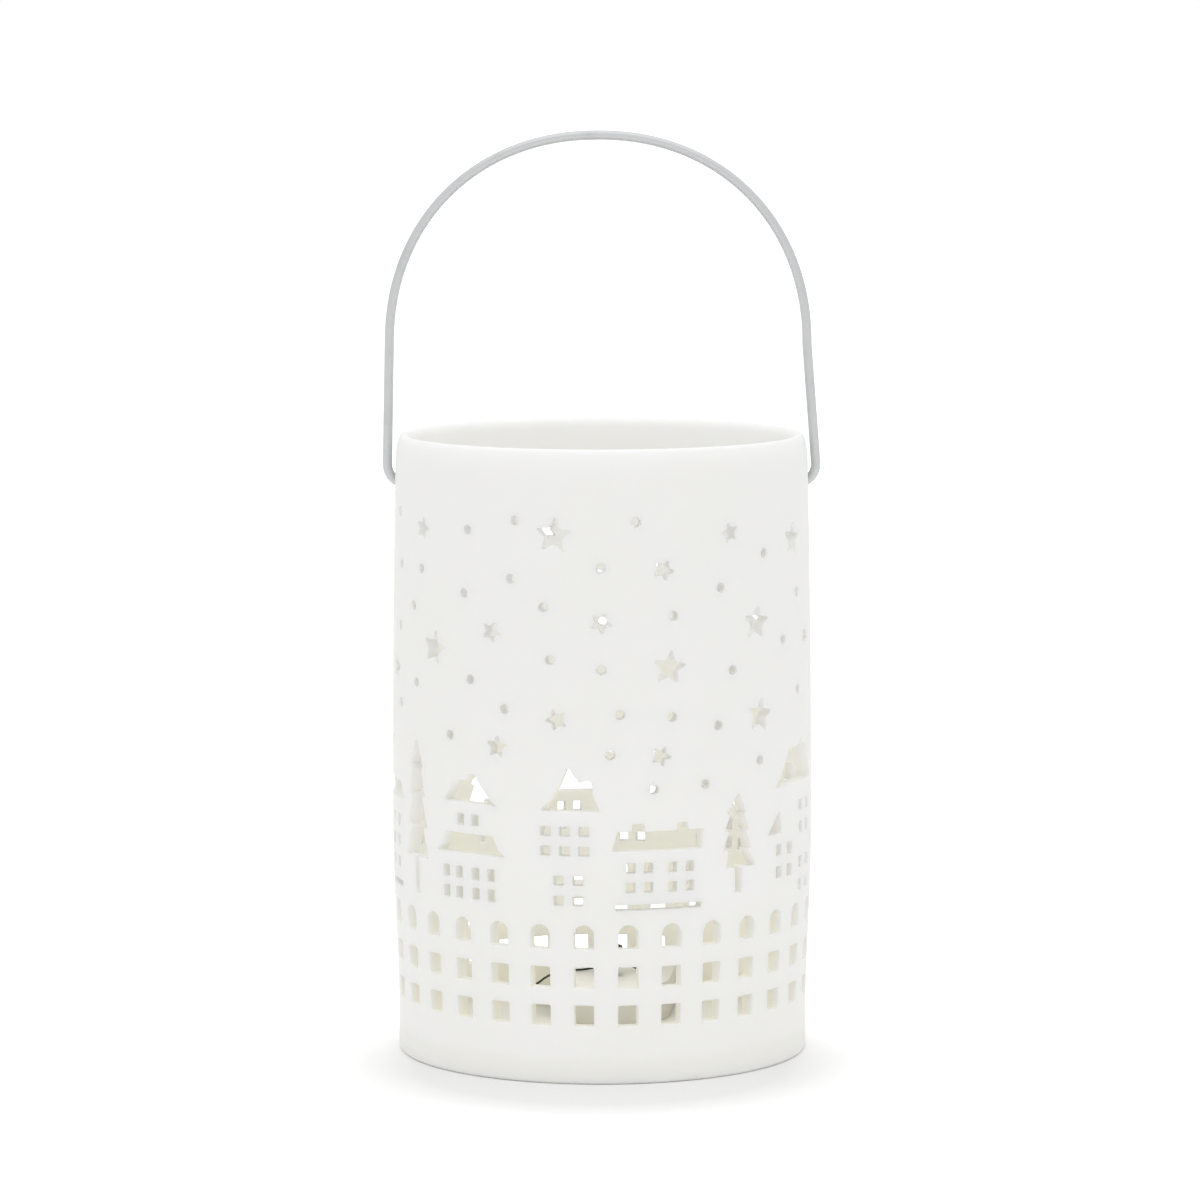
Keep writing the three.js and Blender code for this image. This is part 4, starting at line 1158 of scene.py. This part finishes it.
class LANTERN_OT_leads(bpy.types.Operator):
    """Makes the two leads, their gland and the resistor"""

    bl_idname = "lantern.leads"
    bl_label = "Leads, gland and resistor"

    def execute(self, context):
        settings = context.scene.lantern_light
        coating = rubber_finish("lead_coating", settings.insulation, 0.42)
        for pole, route in LEAD_ROUTES.items():
            path = smooth_path(in_lantern(route))
            lead = swept_wire("insulated_lead_" + pole, path, settings.lead, 16, coating)
            dress(lead, coating, "light", "lead_insulation", "lead_" + pole)
        gland = refined("lead_gland", "rubber_gland", 0.2 * MM)
        dress(gland, rubber_finish("gland_rubber", linear(28, 28, 29)), "light", "gland_rubber", "lead_gland")
        resistor = refined("resistor", "series_resistor", 0.15 * MM, angle=40)
        dress(resistor, self.lacquer(), "light", "resistor_coat", "resistor")
        return {"FINISHED"}

    def lacquer(self):
        tan = linear(205, 170, 120)
        bands = (
            (0.2, 0.09, linear(80, 45, 25)), (0.38, 0.09, linear(20, 20, 20)),
            (0.56, 0.09, linear(80, 45, 25)), (0.8, 0.09, linear(170, 130, 50)),
        )
        turn = math.radians(LIGHT_TURN)
        axis = Vector((math.cos(turn), math.sin(turn), 0))
        start, end = ((axis.dot(Vector(LIGHT_PLACE)) + place) * MM for place in RESISTOR_ENDS)
        return banded_finish(start, end, axis, tan, bands, linear(214, 214, 208))


def bulb_mesh():
    """The diode's resin: a flange, a straight body and a round top"""
    low, high = (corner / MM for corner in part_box("led_bulb"))
    centre = (low + high) / 2
    radius = BULB_FLANGE[-1][0]
    profile = [*BULB_FLANGE, (radius, BULB_SHOULDER)]
    spring = BULB_HEIGHT - radius
    for i in range(9):
        turn = math.radians(10 * i)
        profile.append((radius * math.cos(turn), spring + radius * math.sin(turn)))
    sides = 40
    vertices = [
        (centre.x + r * math.cos(2 * math.pi * i / sides), centre.y + r * math.sin(2 * math.pi * i / sides),
         low.z + h)
        for r, h in profile
        for i in range(sides)
    ]
    faces = []
    for row in range(len(profile) - 1):
        for i in range(sides):
            a, b = row * sides + i, row * sides + (i + 1) % sides
            faces.append((a, b, b + sides, a + sides))
    vertices += [(centre.x, centre.y, low.z), (centre.x, centre.y, low.z + BULB_HEIGHT)]
    base, tip = len(vertices) - 2, len(vertices) - 1
    top = (len(profile) - 1) * sides
    for i in range(sides):
        j = (i + 1) % sides
        faces += [(base, j, i), (top + i, top + j, tip)]
    return mesh_object("diode_bulb", vertices, faces)


class LANTERN_OT_diode(bpy.types.Operator):
    """Makes the diode with its collar and legs"""

    bl_idname = "lantern.diode"
    bl_label = "Diode"

    def execute(self, context):
        settings = context.scene.lantern_light
        collar = refined("led_holder", "diode_collar", 0.2 * MM)
        low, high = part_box("led_holder")
        for vertex in collar.data.vertices:
            spread = vertex.co.xy - (low.xy + high.xy) / 2
            if vertex.co.z < low.z + STEM_TOP * MM and spread.length < STEM_RADIUS * MM:
                vertex.co.xy -= STEM_SHRINK * spread
        black = moulded_finish("collar_black", linear(32, 32, 33), 0.55, 0.0003)
        dress(collar, black, "light", "holder_plastic", "led_holder")
        dress(bulb_mesh(), resin_finish(settings), "light", "led_lens", "led_bulb")
        tin = metal_finish("tinned_leg", linear(214, 214, 208), 0.26)
        for size in ("long", "short"):
            leg = refined("led_leg_" + size, "diode_leg_" + size, 0.06 * MM)
            dress(leg, tin, "light", "led_leg_tin", "led_leg_" + size)
        return {"FINISHED"}


# Stage


def floor_finish(colour):
    """A pale floor that keeps shadows near the lantern, and that is seen as white further off; the glow that
    whitens it starts round a middle in front of the lantern, which paints shadow in front beyond the cast one
    """
    finish = Finish("pale_floor")
    # Painted shadow: no glow within reach of a middle 30 mm in front of the lantern, so the floor stays
    # darker in front than at the sides
    reach = finish.node("ShaderNodeVectorMath", Vector=finish.place)
    reach.operation = "DISTANCE"
    reach.inputs[1].default_value = PAINTED_SHADOW_MIDDLE
    fade = finish.spread(reach.outputs["Value"], *PAINTED_SHADOW_FADE, 0.0, FLOOR_GLOW)
    glow = finish.node("ShaderNodeEmission", Strength=finish.math("MULTIPLY", fade, finish.seen()))
    lit = finish.node("ShaderNodeAddShader")
    finish.fill(lit.inputs[0], finish.node("ShaderNodeBsdfDiffuse", Color=colour).outputs[0])
    finish.fill(lit.inputs[1], glow.outputs[0])
    finish.node("ShaderNodeOutputMaterial", Surface=lit.outputs[0])
    return finish.material


def white_world(strength):
    """Even light from all round, which the camera, gloss and glass see as white"""
    world = bpy.data.worlds.new("white_room")
    world.use_nodes = True
    nodes = Nodes(world.node_tree)
    level = nodes.spread(nodes.seen(), 0.0, 1.0, strength, 1.0)
    light = nodes.node("ShaderNodeBackground", Color=(1, 1, 1), Strength=level)
    nodes.node("ShaderNodeOutputWorld", Surface=light.outputs[0])
    bpy.context.scene.world = world


def lamp(name, kind, place, power):
    made = bpy.data.objects.new(name, bpy.data.lights.new(name, kind))
    made.location = place
    made.data.energy = power
    bpy.context.scene.collection.objects.link(made)
    return made


class LANTERN_OT_stage(bpy.types.Operator):
    """Makes the floor, the lamps and the camera at the photograph's viewing angle"""

    bl_idname = "lantern.stage"
    bl_label = "Stage"

    lens_angle = math.radians(12.872)
    camera_turn = math.radians(0.0196)
    camera_roll = math.radians(-0.0952)

    def execute(self, context):
        settings = context.scene.lantern_stage
        bpy.ops.mesh.primitive_plane_add(size=60)
        floor = context.object
        floor.name = "pale_floor"
        floor.location.z = CAD_BOUNDS[0][2]
        floor.data.materials.append(floor_finish(settings.floor))
        white_world(settings.sky)
        overhead = lamp("overhead", "AREA", KEY_PLACE, settings.key)
        overhead.data.shape = "DISK"
        overhead.data.size = KEY_SIZE
        overhead.rotation_euler = (KEY_AIM - KEY_PLACE).to_track_quat("-Z", "Y").to_euler()
        # Stands for the light that the thin wall lets through, and isn't seen itself
        fill = lamp("inner_fill", "POINT", FILL_PLACE, settings.inside)
        fill.data.shadow_soft_size = FILL_RADIUS
        fill.visible_camera = False
        fill.visible_glossy = False
        self.camera(context, settings)
        context.scene.view_settings.view_transform = "Standard"
        return {"FINISHED"}

    def camera(self, context, settings):
        data = bpy.data.cameras.new("photograph")
        data.sensor_width = 36
        data.lens = data.sensor_width / 2 / math.tan(self.lens_angle / 2)
        camera = bpy.data.objects.new("photograph", data)
        turn = Matrix.Rotation(self.camera_turn, 4, "Z")
        tilt = Matrix.Rotation(math.pi / 2 - settings.tilt, 4, "X")
        roll = Matrix.Rotation(self.camera_roll, 4, "Z")
        place = Matrix.Translation((0, -settings.distance, settings.height))
        camera.matrix_world = place @ turn @ tilt @ roll
        context.scene.collection.objects.link(camera)
        context.scene.camera = camera


PARTS = (
    LANTERN_OT_stage,
    LANTERN_OT_porcelain,
    LANTERN_OT_bail,
    LANTERN_OT_case,
    LANTERN_OT_cells,
    LANTERN_OT_switch,
    LANTERN_OT_leads,
    LANTERN_OT_diode,
)


class LANTERN_PT_parts(bpy.types.Panel):
    """Lists the lantern's parts and their settings"""

    bl_label = "Lantern"
    bl_idname = "LANTERN_PT_parts"
    bl_space_type = "VIEW_3D"
    bl_region_type = "UI"
    bl_category = "Lantern"

    def draw(self, context):
        for operator in PARTS:
            self.layout.operator(operator.bl_idname)
        for name in SETTINGS:
            group = getattr(context.scene, name)
            column = self.layout.column()
            for key in group.bl_rna.properties.keys():
                if key not in ("rna_type", "name"):
                    column.prop(group, key)


SETTINGS = {
    "lantern_porcelain": PorcelainSettings,
    "lantern_bail": BailSettings,
    "lantern_light": LightSettings,
    "lantern_stage": StageSettings,
}


def register():
    for group in SETTINGS.values():
        bpy.utils.register_class(group)
    for operator in PARTS:
        bpy.utils.register_class(operator)
    bpy.utils.register_class(LANTERN_PT_parts)
    for name, group in SETTINGS.items():
        setattr(bpy.types.Scene, name, bpy.props.PointerProperty(type=group))


def unregister():
    for name in SETTINGS:
        delattr(bpy.types.Scene, name)
    bpy.utils.unregister_class(LANTERN_PT_parts)
    for operator in reversed(PARTS):
        bpy.utils.unregister_class(operator)
    for group in reversed(SETTINGS.values()):
        bpy.utils.unregister_class(group)


def main():
    register()
    for operator in PARTS:
        family, name = operator.bl_idname.split(".")
        getattr(getattr(bpy.ops, family), name)()


if __name__ == "__main__":
    main()
